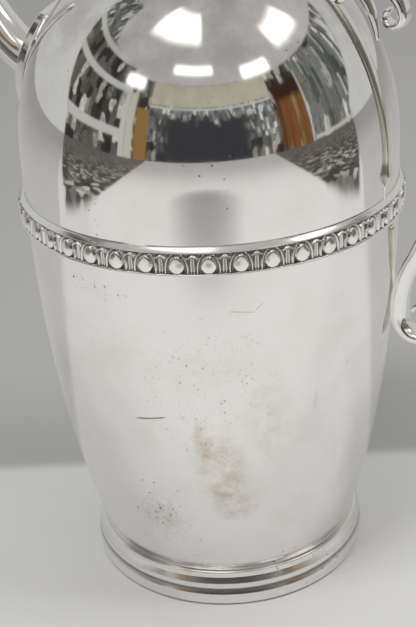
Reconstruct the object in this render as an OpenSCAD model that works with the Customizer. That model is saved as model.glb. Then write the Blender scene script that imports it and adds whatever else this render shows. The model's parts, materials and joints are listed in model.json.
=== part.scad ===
// Footed coffee pot in polished silver plate: a spun two-part body, a rolled
// egg-and-dart belt over its seam, a swan-neck spout, a cast scroll handle with
// insulators, and a domed lid on a five-knuckle hinge.
// Origin: centre of the foot, on the table. +Z up, handle towards +X, spout towards -X.

/* [Body] */
// Widest outside diameter of the body
body_d = 112; // [106:1:120]
// Thickness of the spun sheet
wall = 1.2; // [0.8:0.1:1.6]
// Height of the seam between the lower and upper shells
seam_z = 124; // [116:1:134]
// Outside diameter of the body where it stands on the foot
base_d = 82.8; // [76:0.2:90]
// Upright height of the upper shell above the seam
straight_h = 16; // [14:0.5:22]
// Height of the dome above its upright part, as a full half ellipse
dome_h = 60; // [56:1:66]
// Depth of the lap joint at the seam
lap_h = 4; // [2:0.5:6]
// Rise of the domed bottom plate
bottom_rise = 3; // [1:0.5:5]

/* [Neck] */
// Outside diameter of the neck
neck_d = 62; // [58:1:66]
// Height of the upright neck
neck_h = 4.5; // [4:0.5:7]
// Thickness of the band around the mouth
neck_band_t = 2; // [1.5:0.1:2.5]
// Height of the band around the mouth
neck_band_h = 3.2; // [2.8:0.1:3.8]

/* [Foot] */
// Outside diameter of the lowest bead of the foot
foot_d = 90; // [88:0.5:98]
// Height of the lowest bead
foot_bead_h = 3.6; // [2.4:0.2:5]
// Height of the middle bead
foot_mid_h = 1.7; // [1.2:0.1:2.6]
// Height of the upper band
foot_band_h = 3.4; // [2.4:0.2:5]
// Height of each groove between the bands
foot_groove_h = 1.2; // [0.8:0.1:2]
// Height of the fillet under the body
foot_fillet_h = 1; // [0.6:0.1:2]

/* [Belt] */
// Height of the whole belt
belt_h = 8.2; // [7.6:0.1:10]
// How far the belt stands out from the body
belt_t = 2; // [1.8:0.1:2.6]
// Number of eggs around the belt
motif_count = 44; // [36:1:48]
// Height of one egg
egg_h = 4.4; // [3.6:0.1:4.8]
// Width of one egg
egg_w = 3.4; // [2.6:0.1:3.6]

/* [Spout] */
// Height where the spout's axis leaves the body
spout_root_z = 153; // [150:0.5:156]
// Upward tilt of the spout's root, in degrees
spout_tilt = 22; // [18:1:26]
// Outside radius of the spout at its root
spout_root_r = 6.4; // [6:0.1:7]
// Outside radius of the spout below its lip
spout_tip_r = 5; // [4.8:0.1:5.6]
// Wall thickness of the spout
spout_wall = 1; // [0.8:0.1:1.2]
// Distance of the spout's tip from the pot's axis
spout_reach = 107; // [102:1:114]
// Height of the spout's tip
spout_tip_z = 213; // [206:1:220]
// Half width of the leaf-shaped plate under the spout
plate_half_w = 20; // [17:0.5:22]
// Thickness of the plate above the body on the spout's axis
plate_t = 2.3; // [1.8:0.1:3]
// Radius of one strainer hole
strainer_hole_r = 1.5; // [1:0.1:1.8]
// Spacing of the strainer holes
strainer_pitch = 4.2; // [3.9:0.1:4.6]

/* [Handle] */
// Distance from the pot's axis to the outer side of the grip's middle
handle_reach = 112; // [104:1:120]
// Half width of the grip across the hand
grip_half_w = 5; // [4:0.1:6]
// Half thickness of the grip in the plane of the handle
grip_half_t = 4; // [3.4:0.1:4.6]
// Half width of the strap that lies on the dome
strap_half_w = 1.9; // [1.4:0.1:2.6]
// Half thickness of that strap
strap_half_t = 1.1; // [0.8:0.1:1.5]
// Radius of the sockets that hold the insulators
socket_r = 4.6; // [4.2:0.1:5.4]
// Length of each socket
socket_l = 4.5; // [4:0.5:6]
// Thickness of the visible insulator disc
insulator_t = 2.6; // [1.6:0.2:4]
// Radius of the insulator's tenon
tenon_r = 2.5; // [2:0.1:2.8]
// Radius of the cross pins
cross_pin_r = 0.8; // [0.6:0.1:1]
// Radius of the bead between the strut and the lower scroll
bead_r = 1.3; // [1:0.1:1.6]
// Drop of the strut's tail below the belt
scroll_drop = 36; // [33:0.5:39]

/* [Lid] */
// Height of the lid's dome above its rim
lid_dome_h = 15; // [12:0.5:18]
// Height of the lid's rim
lid_rim_h = 1.2; // [1:0.1:1.6]
// Depth of the bezel that drops into the neck
bezel_h = 4; // [3:0.5:4.5]
// Radius of the steam hole
vent_r = 1.1; // [0.8:0.1:1.6]

/* [Hinge] */
// Width of the hinge
hinge_w = 18; // [15:0.5:22]
// Number of knuckles, an odd number
knuckle_count = 5; // [3:2:7]
// Outside radius of the knuckles
knuckle_r = 2.1; // [1.9:0.1:2.4]
// Radius of the hinge pin
hinge_pin_r = 1; // [0.8:0.1:1.2]

/* [Finial] */
// Radius of the knob
knob_r = 7; // [5.5:0.5:8.5]
// Height of the finial above its washer
finial_h = 25; // [22:0.5:30]
// Radius of the finial's stud
stud_r = 2; // [1.5:0.1:2.4]

/* [Fits] */
// Gap between the closed lid and the neck's edge
lid_gap = 0.2; // [0.1:0.05:0.4]
// Gap around the bezel inside the neck
bezel_gap = 0.4; // [0.3:0.05:0.6]
// Radial clearance of the hinge pin
pin_gap = 0.05; // [0.02:0.01:0.08]
// Gap between parts that are soldered or pressed together
seat_gap = 0.05; // [0.02:0.01:0.1]

/* [Hidden] */
$fn = 96;

// ---- sizes that follow from the driving ones ----
body_r = body_d / 2;
base_r = base_d / 2;
neck_r = neck_d / 2;
foot_h = foot_bead_h + foot_mid_h + foot_band_h + 2 * foot_groove_h + foot_fillet_h;
dome_z = seam_z + straight_h;
neck_z = dome_z + dome_h * sqrt(1 - pow(neck_r / body_r, 2));
mouth_z = neck_z + neck_h;
belt_z = seam_z - belt_h / 2;
belt_top = seam_z + belt_h / 2;
lower_b = (seam_z - foot_h) / sqrt(1 - pow(base_r / body_r, 2));
lid_z = mouth_z + lid_gap;
lid_r = neck_r + neck_band_t - 0.2;
bezel_r = neck_r - wall - bezel_gap;
lid_dome_r = bezel_r + wall;
lid_dome_z = lid_z + lid_rim_h + 0.8;
lid_top_r = 5.5;
lid_top_z = lid_dome_z + lid_dome_h * sqrt(1 - pow(lid_top_r / lid_dome_r, 2));
hinge_x = neck_r + neck_band_t + knuckle_r + 0.5;
hinge_z = lid_z + lid_rim_h / 2;

// ---- curves ----
// Radius of the outside of the lower shell at height z
function lower_r(z) = body_r * sqrt(1 - pow((seam_z - z) / lower_b, 2));
// Radius of the outside of the upper shell at height z, below the neck
function upper_r(z) = z < dome_z ? body_r : body_r * sqrt(1 - pow((z - dome_z) / dome_h, 2));
// Half-round bead of height h, standing out by t from radius r
function bead_points(r, z, h, t, n = 6) =
    [for (i = [0:n]) let (a = -90 + 180 * i / n) [r + t * cos(a), z + h / 2 + h / 2 * sin(a)]];
// One quarter of an ellipse from its widest point up to radius r_end
function dome_points(r, h, z, r_end, n = 22) =
    [for (i = [0:n]) let (a = acos(r_end / r) * i / n) [r * cos(a), z + h * sin(a)]];
function reversed(v) = [for (i = [len(v) - 1:-1:0]) v[i]];
function mix(a, b, t) = a + (b - a) * t;
// Cubic Bezier curve through p[0] and p[3]
function bezier(p, n, first = 0) = [for (i = [first:n]) let (t = i / n, u = 1 - t)
    u * u * u * p[0] + 3 * u * u * t * p[1] + 3 * u * t * t * p[2] + t * t * t * p[3]];
// Direction of travel at point i of a path in the X-Z plane
function travel(p, i) = let (a = p[max(i - 1, 0)], b = p[min(i + 1, len(p) - 1)], d = b - a) d / norm(d);
// Point on the upper shell at ellipse angle a, lifted by off
function on_dome(a, off) = [(body_r + off) * cos(a), dome_z + (dome_h + off) * sin(a)];

// Bar along a path of [x, z] points in the X-Z plane.
// half_t(t) is its half thickness in that plane and half_w(t) across it, both as lists.
module bar(path, half_t, half_w, sides = 10) {
    n = len(path);
    ring = [for (i = [0:n - 1]) let (d = travel(path, i)) for (k = [0:sides - 1])
        let (a = 360 * (k + 0.5) / sides, q = half_t[i] * cos(a), w = half_w[i] * sin(a))
        [path[i][0] - d[1] * q, w, path[i][1] + d[0] * q]];
    polyhedron(ring, concat(
        [[for (k = [sides - 1:-1:0]) k]],
        [for (i = [0:n - 2]) for (k = [0:sides - 1]) let (l = (k + 1) % sides)
            [i * sides + k, i * sides + l, (i + 1) * sides + l, (i + 1) * sides + k]],
        [[for (k = [0:sides - 1]) (n - 1) * sides + k]]
    ), convexity = 6);
}

// Sections along a path: values of v, given at equal steps, read off at n points
function spread(v, n) = [for (i = [0:n - 1]) let (s = i / (n - 1) * (len(v) - 1), k = min(floor(s), len(v) - 2))
    mix(v[k], v[k + 1], s - k)];

// ---- foot and body ----
module foot_ring() {
    inner_r = base_r - wall;
    groove_r = base_r + 0.4;
    mid_z = foot_bead_h + foot_groove_h;
    band_z = mid_z + foot_mid_h + foot_groove_h;
    low_t = foot_d / 2 - groove_r - 1.6;
    color("silver") rotate_extrude() polygon(concat(
        [[inner_r, 0]],
        bead_points(foot_d / 2 - low_t, 0, foot_bead_h, low_t, 8),
        [[groove_r + 0.7, foot_bead_h], [groove_r + 0.7, mid_z]],
        bead_points(groove_r + 0.9, mid_z, foot_mid_h, 1, 6),
        [[groove_r, mid_z + foot_mid_h], [groove_r, band_z]],
        bead_points(groove_r + 0.1, band_z, foot_band_h, 1.3, 8),
        [[base_r, band_z + foot_band_h], [base_r, foot_h], [inner_r, foot_h]]
    ));
}

module bottom_plate() {
    r = base_r - wall - seat_gap;
    top = [for (i = [0:10]) [r * i / 10, foot_h + wall + bottom_rise * (1 - pow(i / 10, 2))]];
    color("silver") rotate_extrude()
        polygon(concat(top, reversed([for (p = top) [p[0], p[1] - wall]])));
}

module lower_body() {
    n = 20;
    base_a = acos(base_r / body_r);
    outer = [for (i = [0:n]) let (a = base_a * (1 - i / n)) [body_r * cos(a), seam_z - lower_b * sin(a)]];
    lap_r = body_r - wall - seat_gap;
    joggle = 1.5;
    inner = [for (p = outer) if (p[1] < seam_z - 2 * joggle) [p[0] - wall, p[1]]];
    color("silver") rotate_extrude() polygon(concat(
        outer,
        [[lap_r, seam_z], [lap_r, seam_z + lap_h], [lap_r - wall, seam_z + lap_h]],
        [[lap_r - wall, seam_z - joggle], [body_r - wall, seam_z - 2 * joggle]],
        reversed(inner)
    ));
}

// Outside of the upper shell as a solid, lifted by off
module upper_solid(off = 0) {
    rotate_extrude() polygon(concat(
        [[0, belt_z], [body_r + off, belt_z]],
        dome_points(body_r + off, dome_h + off, dome_z, neck_r + off),
        [[neck_r + off, mouth_z], [0, mouth_z]]
    ));
}

module upper_body() {
    color("silver") difference() {
        rotate_extrude() polygon(concat(
            [[body_r, seam_z]],
            dome_points(body_r, dome_h, dome_z, neck_r),
            [[neck_r, mouth_z], [neck_r - wall, mouth_z]],
            reversed(dome_points(body_r - wall, dome_h - wall, dome_z, neck_r - wall)),
            [[body_r - wall, seam_z]]
        ));
        strainer_holes();
    }
}

module neck_band() {
    r = neck_r + neck_band_t;
    z = mouth_z - neck_band_h;
    edge = 0.6;
    color("silver") rotate_extrude() polygon([
        [neck_r + seat_gap, z], [r - edge, z], [r, z + edge],
        [r, mouth_z - edge], [r - edge, mouth_z], [neck_r + seat_gap, mouth_z]
    ]);
}

// ---- belt ----
// The belt is a rolled strip: a plain fillet, a field of eggs and darts, and a sloping cap.
field_r = body_r + belt_t * 0.5;
field_z = belt_z + 1;
cap_z = belt_top - 2;

module egg() {
    translate([field_r - 0.3, 0, field_z + 0.1 + egg_h / 2]) rotate_extrude($fn = 20)
        polygon([for (i = [0:5]) let (a = -90 + 36 * i)
            [egg_w / 2 * cos(a) * (1 - 0.12 * sin(a)), egg_h / 2 * sin(a)]]);
}

// Dart between two eggs: a stem under an arrow head
module dart() {
    stem_w = 0.8;
    head_w = 2;
    head_h = 1.3;
    top_z = cap_z - 0.1;
    translate([field_r - 0.4, 0, 0]) rotate([90, 0, 90]) linear_extrude(height = 1) polygon([
        [-stem_w / 2, field_z - 0.1], [stem_w / 2, field_z - 0.1],
        [stem_w / 2, top_z - head_h], [head_w / 2, top_z - head_h],
        [0, top_z], [-head_w / 2, top_z - head_h], [-stem_w / 2, top_z - head_h]
    ]);
}

module belt() {
    step = 360 / motif_count;
    color("silver") difference() {
        union() {
            rotate_extrude() polygon([
                [body_r - 1, belt_z], [body_r + belt_t, belt_z], [body_r + belt_t, field_z - 0.2],
                [field_r, field_z], [field_r, cap_z], [body_r + belt_t * 0.85, cap_z + 0.2],
                [body_r + belt_t * 0.8, cap_z + 1], [body_r + seat_gap + 0.3, belt_top], [body_r - 1, belt_top]
            ]);
            for (i = [0:motif_count - 1]) rotate(i * step) {
                egg();
                rotate(step / 2) dart();
            }
        }
        translate([0, 0, belt_z - 1]) cylinder(h = belt_h + 2, r = body_r + seat_gap);
    }
}

// ---- spout ----
root_r = upper_r(spout_root_z);
flare_h = 9;
flare_r = 15;
plate_up = 9;
plate_half_h = 29;

// Places its children at the spout's root: local Z along the spout, local X up the plate
module at_root() {
    translate([-root_r, 0, spout_root_z]) rotate([0, spout_tilt - 90, 0]) children();
}

// Pointed leaf outline: two wide cones overlap in a pointed oval, and a third rounds its top
module leaf_block(half_w, z0, z1, grow) {
    arc_r = (half_w * half_w + plate_half_h * plate_half_h) / (2 * half_w);
    intersection() {
        translate([plate_up, arc_r - half_w, z0]) leaf_cone(arc_r, z1 - z0, grow);
        translate([plate_up, half_w - arc_r, z0]) leaf_cone(arc_r, z1 - z0, grow);
        translate([plate_up - 9, 0, z0]) leaf_cone(plate_half_h, z1 - z0, grow);
    }
}

module leaf_cone(r, h, grow) {
    cylinder(h = h, r1 = r + grow, r2 = r, $fn = 180);
}

// Trumpet between the plate and the tube: radius at distance z out along the spout
function flare(z) = let (t = (z - plate_t) / (flare_h - plate_t))
    spout_root_r + (flare_r - spout_root_r) * pow(1 - t, 2.2);

module spout_base() {
    n = 8;
    crown_r = 90;
    rib_h = 1.7;
    rib_w = 3.5;
    bore_r = spout_root_r - spout_wall;
    flare_z = [for (i = [0:n]) plate_t - 0.3 + (flare_h - plate_t + 0.3) * i / n];
    color("silver") difference() {
        union() {
            at_root() intersection() {
                leaf_block(plate_half_w, -16, plate_t, 4);
                translate([plate_up, body_r, plate_t - crown_r]) rotate([90, 0, 0])
                    cylinder(h = body_d, r = crown_r, $fn = 240);
            }
            intersection() {
                at_root() leaf_block(plate_half_w + rib_w, -30, 8, 1);
                upper_solid(rib_h);
                translate([-body_r - 10, -body_r, belt_top + 0.6])
                    cube([body_r, body_d, mouth_z - belt_top - 6]);
            }
            at_root() rotate_extrude() polygon(concat(
                [[0, plate_t - 3], [flare(plate_t) , plate_t - 3]],
                [for (z = flare_z) [flare(max(z, plate_t)), z]],
                [[0, flare_h]]
            ));
        }
        upper_solid(0);
        at_root() rotate_extrude() polygon(concat(
            [[0, -6], [flare_r - spout_wall - 3, -6], [flare_r - spout_wall - 3, plate_t - 1.2]],
            [for (z = flare_z) if (z > plate_t + 0.8) [max(flare(z) - spout_wall - 0.3, bore_r), z]],
            [[bore_r, flare_h + 1], [0, flare_h + 1]]
        ));
    }
}

// Straining holes pierced through the body behind the spout, in rings of 1, 6 and 12
module strainer_holes() {
    at_root() {
        translate([0, 0, -12]) cylinder(h = 24, r = strainer_hole_r, $fn = 32);
        for (k = [0:5]) rotate(60 * k) {
            translate([strainer_pitch, 0, -12]) cylinder(h = 24, r = strainer_hole_r, $fn = 32);
            translate([2 * strainer_pitch, 0, -12]) cylinder(h = 24, r = strainer_hole_r, $fn = 32);
            rotate(30) translate([strainer_pitch * sqrt(3), 0, -12])
                cylinder(h = 24, r = strainer_hole_r, $fn = 32);
        }
    }
}

module spout() {
    sides = 20;
    tip_turn = 28;
    out = [-cos(spout_tilt), sin(spout_tilt)];
    start = [-root_r, spout_root_z] + out * (flare_h + seat_gap);
    knee = [-body_r - 31, (spout_root_z + spout_tip_z) / 2 - 1.5];
    tip = [-spout_reach, spout_tip_z];
    path = concat(
        bezier([start, start + out * 9, knee + [8, -12], knee], 11),
        bezier([knee, knee + [-7.5, 11.5], tip + [9, -6.5], tip], 12, 1)
    );
    n = len(path);
    r = concat(spread([spout_root_r, spout_root_r - 0.2, spout_tip_r + 0.4, spout_tip_r, spout_tip_r], n - 2),
        [spout_tip_r + 0.2, spout_tip_r + 0.6]);
    function section(i, k, dr) = let (
        d = travel(path, i),
        head = i == 0 ? atan2(out[1], out[0]) : atan2(d[1], d[0]),
        turn = head - tip_turn * pow(max(0, (i - n + 6) / 5), 2),
        a = 360 * k / sides, q = (r[i] - dr) * cos(a), w = (r[i] - dr) * sin(a)
    ) [path[i][0] - sin(turn) * q, w, path[i][1] + cos(turn) * q];
    ring = [for (dr = [0, spout_wall]) for (i = [0:n - 1]) for (k = [0:sides - 1]) section(i, k, dr)];
    inner = n * sides;
    color("silver") polyhedron(ring, concat(
        [for (i = [0:n - 2]) for (k = [0:sides - 1]) let (l = (k + 1) % sides, a = i * sides)
            [a + l, a + sides + l, a + sides + k, a + k]],
        [for (i = [0:n - 2]) for (k = [0:sides - 1]) let (l = (k + 1) % sides, a = inner + i * sides)
            [a + k, a + sides + k, a + sides + l, a + l]],
        [for (k = [0:sides - 1]) let (l = (k + 1) % sides) [inner + k, inner + l, l, k]],
        [for (k = [0:sides - 1]) let (l = (k + 1) % sides, a = (n - 1) * sides)
            [a + k, a + l, inner + a + l, inner + a + k]]
    ), convexity = 8);
}

// ---- handle ----
// The upper scroll leaves the strap near its top; the upper joint stands on the scroll.
strap_top_a = 50;
strap_lift = strap_half_t + seat_gap;
upper_joint = [body_r - 3.5, neck_z + 4];
upper_turn = 52;
lower_joint = [body_r + 14.5, seam_z - 5.5];
lower_turn = 57;
joint_l = 2 * socket_l + insulator_t;
function along(p, turn, l) = p + l * [cos(turn), sin(turn)];

// Places its children on a joint of the handle: local Z along the handle, away from the body
module at_joint(p, turn) {
    translate([p[0], 0, p[1]]) rotate([0, 90 - turn, 0]) children();
}

module back_strap() {
    tail_z = belt_top + 0.2;
    tip_z = belt_top + 5;
    rise = [for (i = [0:4]) [body_r + strap_lift, mix(tip_z, dome_z, i / 4)]];
    over = [for (i = [1:14]) on_dome(strap_top_a * i / 14, strap_lift)];
    path = concat([[body_r + 0.6, tail_z], [body_r + 0.7, tip_z - 1.5]], rise, over);
    n = len(path);
    half_t = concat([0.5, 0.55], spread([0.75, 1, 1], 3) * strap_half_t, [for (i = [5:n - 1]) strap_half_t]);
    half_w = concat([0.7, 0.9], spread([0.8, 1, 1], 3) * strap_half_w, [for (i = [5:n - 1]) strap_half_w]);
    color("silver") bar(path, half_t, half_w, 10);
}

module upper_scroll() {
    foot = on_dome(strap_top_a - 4, 2 * strap_half_t + 1.6);
    curl_z = mix(dome_z, neck_z, 0.8);
    curl_x = body_r + 2.6;
    curl = [for (i = [0:11]) let (a = 30 - 24 * i, r = mix(3.3, 1.5, i / 11))
        [curl_x + r * cos(a), curl_z + r * sin(a)]];
    sweep = bezier([foot, foot + [4, 6], [curl_x + 0.5, curl_z + 10], curl[0]], 12);
    path = concat(sweep, [for (i = [1:11]) curl[i]]);
    n = len(path);
    leaf = bezier([foot + [1.5, -2.2], foot + [6, 4], [body_r - 3, curl_z + 4], [body_r - 1.8, curl_z - 6.5]], 12);
    stem = concat(
        bezier([foot + [6, 2], along(upper_joint, upper_turn, -5), along(upper_joint, upper_turn, -2),
            along(upper_joint, upper_turn, -1)], 6),
        [along(upper_joint, upper_turn, -seat_gap)]
    );
    color("silver") {
        bar(path, spread([1.6, 1.7, 1.5, 1.3, 1.2, 0.9, 0.6], n), spread([2, 3, 3.2, 3.2, 3, 2.6, 2], n), 10);
        bar(leaf, spread([2, 1.3, 1, 0.9, 0.4], 13), spread([2, 2.4, 2.4, 2, 0.5], 13), 8);
        bar(stem, spread([2.2, 2.8, 3.2], 8), spread([2.6, 3.2, 3.4], 8), 12);
    }
}

// One socket: a turned cup with a rolled rim at local z = rim_z, bored for the tenon
module socket(z0, rim_up) {
    back_r = socket_r * 0.78;
    difference() {
        translate([0, 0, z0]) rotate_extrude() polygon(rim_up
            ? [[0, 0], [back_r, 0], [socket_r * 0.86, socket_l * 0.6], [socket_r, socket_l * 0.72],
               [socket_r, socket_l], [0, socket_l]]
            : [[0, 0], [socket_r, 0], [socket_r, socket_l * 0.28], [socket_r * 0.86, socket_l * 0.4],
               [back_r, socket_l], [0, socket_l]]);
        translate([0, 0, rim_up ? z0 + 0.8 : z0 - 1]) cylinder(h = socket_l + 0.2, r = tenon_r + seat_gap);
        translate([0, 20, z0 + socket_l / 2]) rotate([90, 0, 0])
            cylinder(h = 40, r = cross_pin_r + seat_gap, $fn = 32);
    }
}

module joint_sockets(p, turn) {
    color("silver") at_joint(p, turn) {
        socket(0, true);
        socket(socket_l + insulator_t, false);
    }
}

module joint_insulator(p, turn) {
    color("dimgray") at_joint(p, turn) difference() {
        union() {
            translate([0, 0, 1.1]) cylinder(h = joint_l - 2.2, r = tenon_r);
            translate([0, 0, socket_l + seat_gap])
                cylinder(h = insulator_t - 2 * seat_gap, r = socket_r + 0.4);
        }
        for (z = [socket_l / 2, joint_l - socket_l / 2]) translate([0, 20, z]) rotate([90, 0, 0])
            cylinder(h = 40, r = cross_pin_r + seat_gap, $fn = 32);
    }
}

module upper_sockets() joint_sockets(upper_joint, upper_turn);
module lower_sockets() joint_sockets(lower_joint, lower_turn);
module upper_insulator() joint_insulator(upper_joint, upper_turn);
module lower_insulator() joint_insulator(lower_joint, lower_turn);

module cross_pins() {
    l = socket_r * 0.86 + 0.35;
    color("silver") for (j = [[upper_joint, upper_turn], [lower_joint, lower_turn]])
        at_joint(j[0], j[1]) for (z = [socket_l / 2, joint_l - socket_l / 2])
            translate([0, l, z]) rotate([90, 0, 0]) cylinder(h = 2 * l, r = cross_pin_r, $fn = 32);
}

module grip() {
    top = along(upper_joint, upper_turn, joint_l + seat_gap);
    low = along(lower_joint, lower_turn, joint_l + seat_gap);
    outer = [handle_reach - grip_half_t, (top[1] + low[1]) / 2 + 4];
    path = concat(
        [low],
        bezier([along(low, lower_turn, 1), along(low, lower_turn, 12), outer - [0, 22], outer], 14),
        bezier([outer, outer + [0, 26], along(top, upper_turn, 22), along(top, upper_turn, 1)], 16, 1),
        [top]
    );
    n = len(path);
    end_r = socket_r * 0.76;
    color("silver") bar(path,
        spread([end_r, grip_half_t, grip_half_t, grip_half_t, grip_half_t, end_r], n),
        spread([end_r, grip_half_w * 0.9, grip_half_w, grip_half_w, grip_half_w * 0.9, end_r], n), 14);
}

module lower_scroll() {
    curl_x = body_r + belt_t + 10.5;
    curl_z = belt_z - 0.73 * scroll_drop;
    curl = [for (i = [0:16]) let (a = 165 + 21 * i, r = mix(7, 3.2, i / 16))
        [curl_x + r * cos(a), curl_z + r * sin(a) * 1.1]];
    arm = bezier([along(lower_joint, lower_turn, -1), along(lower_joint, lower_turn, -9),
        curl[0] + [0, 9], curl[0]], 10);
    path = concat([along(lower_joint, lower_turn, -seat_gap)], arm, [for (i = [1:16]) curl[i]]);
    n = len(path);
    color("silver") difference() {
        bar(path, spread([3.4, 2.5, 2.4, 2.4, 2.2, 1.9, 1.4, 0.8], n),
            spread([3.4, 3, 3.2, 3.6, 3.6, 3.2, 2.6, 1.8], n), 12);
        bead(bead_r + seat_gap);
    }
}

// Bead on the outer side of the strut, seated in a hollow of the lower scroll
module bead(r) {
    translate([body_r + belt_t + 2, 0, belt_z - 0.545 * scroll_drop]) sphere(r = r, $fn = 32);
}

module strut() {
    top = [body_r + belt_t + 0.1, belt_z - 2 * seat_gap];
    low = [body_r + belt_t + 0.4, belt_z - scroll_drop / 2];
    tip_z = belt_z - scroll_drop;
    tip = [lower_r(tip_z) + 0.8, tip_z];
    path = concat(
        bezier([top, top - [0, 6], low + [0, 6], low], 8),
        bezier([low, low - [0, 5], tip + [2, 8], tip], 12, 1)
    );
    n = len(path);
    color("silver") {
        bar(path, spread([0.9, 0.8, 0.6, 0.7, 0.8, 0.35], n), spread([1.6, 1.4, 1.1, 2, 2.4, 0.5], n), 8);
        bead(bead_r);
    }
}

// ---- hinge ----
knuckle_l = hinge_w / knuckle_count;
knuckle_gap = 0.15;
knuckle_clear = 0.25;

// Places its children at each knuckle of one leaf; first is 0 for the body and 1 for the lid
module each_knuckle(first) {
    for (k = [first:2:knuckle_count - 1])
        translate([hinge_x, (k + 0.5 - knuckle_count / 2) * knuckle_l, hinge_z]) children();
}

module knuckle(r, l) {
    translate([0, l / 2, 0]) rotate([90, 0, 0]) cylinder(h = l, r = r, $fn = 48);
}

module hinge_bore() {
    translate([hinge_x, hinge_w / 2 + 2, hinge_z]) rotate([90, 0, 0])
        cylinder(h = hinge_w + 4, r = hinge_pin_r + pin_gap, $fn = 48);
}

module body_hinge_leaf() {
    leaf_t = 1.5;
    leaf_z = mouth_z - neck_band_h + 0.6;
    color("silver") difference() {
        union() {
            translate([neck_r, -hinge_w / 2, leaf_z]) cube([hinge_x - neck_r, hinge_w, leaf_t]);
            each_knuckle(0) {
                knuckle(knuckle_r, knuckle_l - knuckle_gap);
                translate([-knuckle_r, -(knuckle_l - knuckle_gap) / 2, leaf_z - hinge_z])
                    cube([2 * knuckle_r, knuckle_l - knuckle_gap, hinge_z - leaf_z]);
            }
        }
        each_knuckle(1) knuckle(knuckle_r + knuckle_clear, knuckle_l + knuckle_gap);
        hinge_bore();
        cylinder(h = mouth_z, r = neck_r + neck_band_t + seat_gap);
    }
}

module lid_hinge_leaf() {
    tongue_t = 1.3;
    tongue_z = lid_z + lid_rim_h + seat_gap;
    in_r = lid_dome_r + 0.7;
    color("silver") difference() {
        union() {
            translate([in_r - 4, -hinge_w / 2, tongue_z]) cube([hinge_x - in_r + 4, hinge_w, tongue_t]);
            each_knuckle(1) {
                knuckle(knuckle_r, knuckle_l - knuckle_gap);
                translate([-knuckle_r - 1.5, -(knuckle_l - knuckle_gap) / 2, -0.3])
                    cube([knuckle_r + 1.5, knuckle_l - knuckle_gap, tongue_z + tongue_t - hinge_z + 0.3]);
            }
        }
        each_knuckle(0) knuckle(knuckle_r + knuckle_clear, knuckle_l + knuckle_gap);
        hinge_bore();
        cylinder(h = tongue_z, r = lid_r + seat_gap);
        cylinder(h = mouth_z + 40, r = in_r);
    }
}

module hinge_pin() {
    head_t = 0.8;
    color("silver") translate([hinge_x, 0, hinge_z]) rotate([90, 0, 0]) {
        translate([0, 0, -hinge_w / 2 - 0.1]) cylinder(h = hinge_w + 0.2, r = hinge_pin_r, $fn = 48);
        for (s = [0, 1]) mirror([0, 0, s]) translate([0, 0, hinge_w / 2 + 0.1])
            cylinder(h = head_t, r1 = hinge_pin_r * 1.6, r2 = hinge_pin_r * 1.1, $fn = 48);
    }
}

// ---- lid ----
module lid() {
    vent_x = -lid_dome_r * 0.62;
    color("silver") difference() {
        rotate_extrude() polygon(concat(
            [[lid_dome_r - wall, lid_z], [lid_r - 0.5, lid_z], [lid_r, lid_z + 0.4], [lid_r, lid_z + lid_rim_h - 0.3]],
            [[lid_r - 0.4, lid_z + lid_rim_h], [lid_dome_r + 0.6, lid_z + lid_rim_h], [lid_dome_r, lid_dome_z]],
            dome_points(lid_dome_r, lid_dome_h, lid_dome_z, lid_top_r, 16),
            [[0, lid_top_z], [0, lid_top_z - wall]],
            reversed(dome_points(lid_dome_r - wall, lid_dome_h - wall, lid_dome_z, lid_top_r, 16))
        ));
        translate([0, 0, lid_z]) cylinder(h = lid_dome_h + 10, r = stud_r + seat_gap);
        translate([vent_x, 0, lid_z]) cylinder(h = lid_dome_h + 10, r = vent_r, $fn = 32);
    }
}

module lid_bezel() {
    r = bezel_r - seat_gap;
    color("silver") rotate_extrude() polygon([
        [r - 1, lid_z - bezel_h], [r - 0.4, lid_z - bezel_h], [r, lid_z - bezel_h + 0.8],
        [r, lid_dome_z - 0.2], [r - 1, lid_dome_z - 0.2]
    ]);
}

// ---- finial ----
plate_r = 9.5;
finial_plate_h = 2.4;
washer_h = 1.6;
finial_plate_z = lid_top_z + seat_gap;
washer_z = finial_plate_z + finial_plate_h + seat_gap;
finial_z = washer_z + washer_h + seat_gap;
nut_h = 2.4;

// Turned cast plate that spreads the finial's load; its underside follows the lid
module finial_plate() {
    color("silver") difference() {
        translate([0, 0, finial_plate_z]) rotate_extrude() polygon(concat(
            [[0, -1], [plate_r, -1]], bead_points(plate_r - 0.8, -1, 1.8, 0.8, 6),
            [[plate_r - 1.8, 1.1], [6, 1.5], [4.8, finial_plate_h], [0, finial_plate_h]]
        ));
        rotate_extrude() polygon(concat(
            [[0, lid_z], [lid_dome_r + seat_gap, lid_z]],
            dome_points(lid_dome_r + seat_gap, lid_dome_h + seat_gap, lid_dome_z, lid_top_r, 16),
            [[0, finial_plate_z]]
        ));
        translate([0, 0, lid_z]) cylinder(h = 60, r = stud_r + seat_gap);
    }
}

module finial_washer() {
    color("dimgray") difference() {
        translate([0, 0, washer_z]) rotate_extrude()
            polygon(concat([[0, 0]], bead_points(4.4, 0, washer_h, 0.7, 6), [[0, washer_h]]));
        translate([0, 0, washer_z - 1]) cylinder(h = washer_h + 2, r = stud_r + seat_gap);
    }
}

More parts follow.
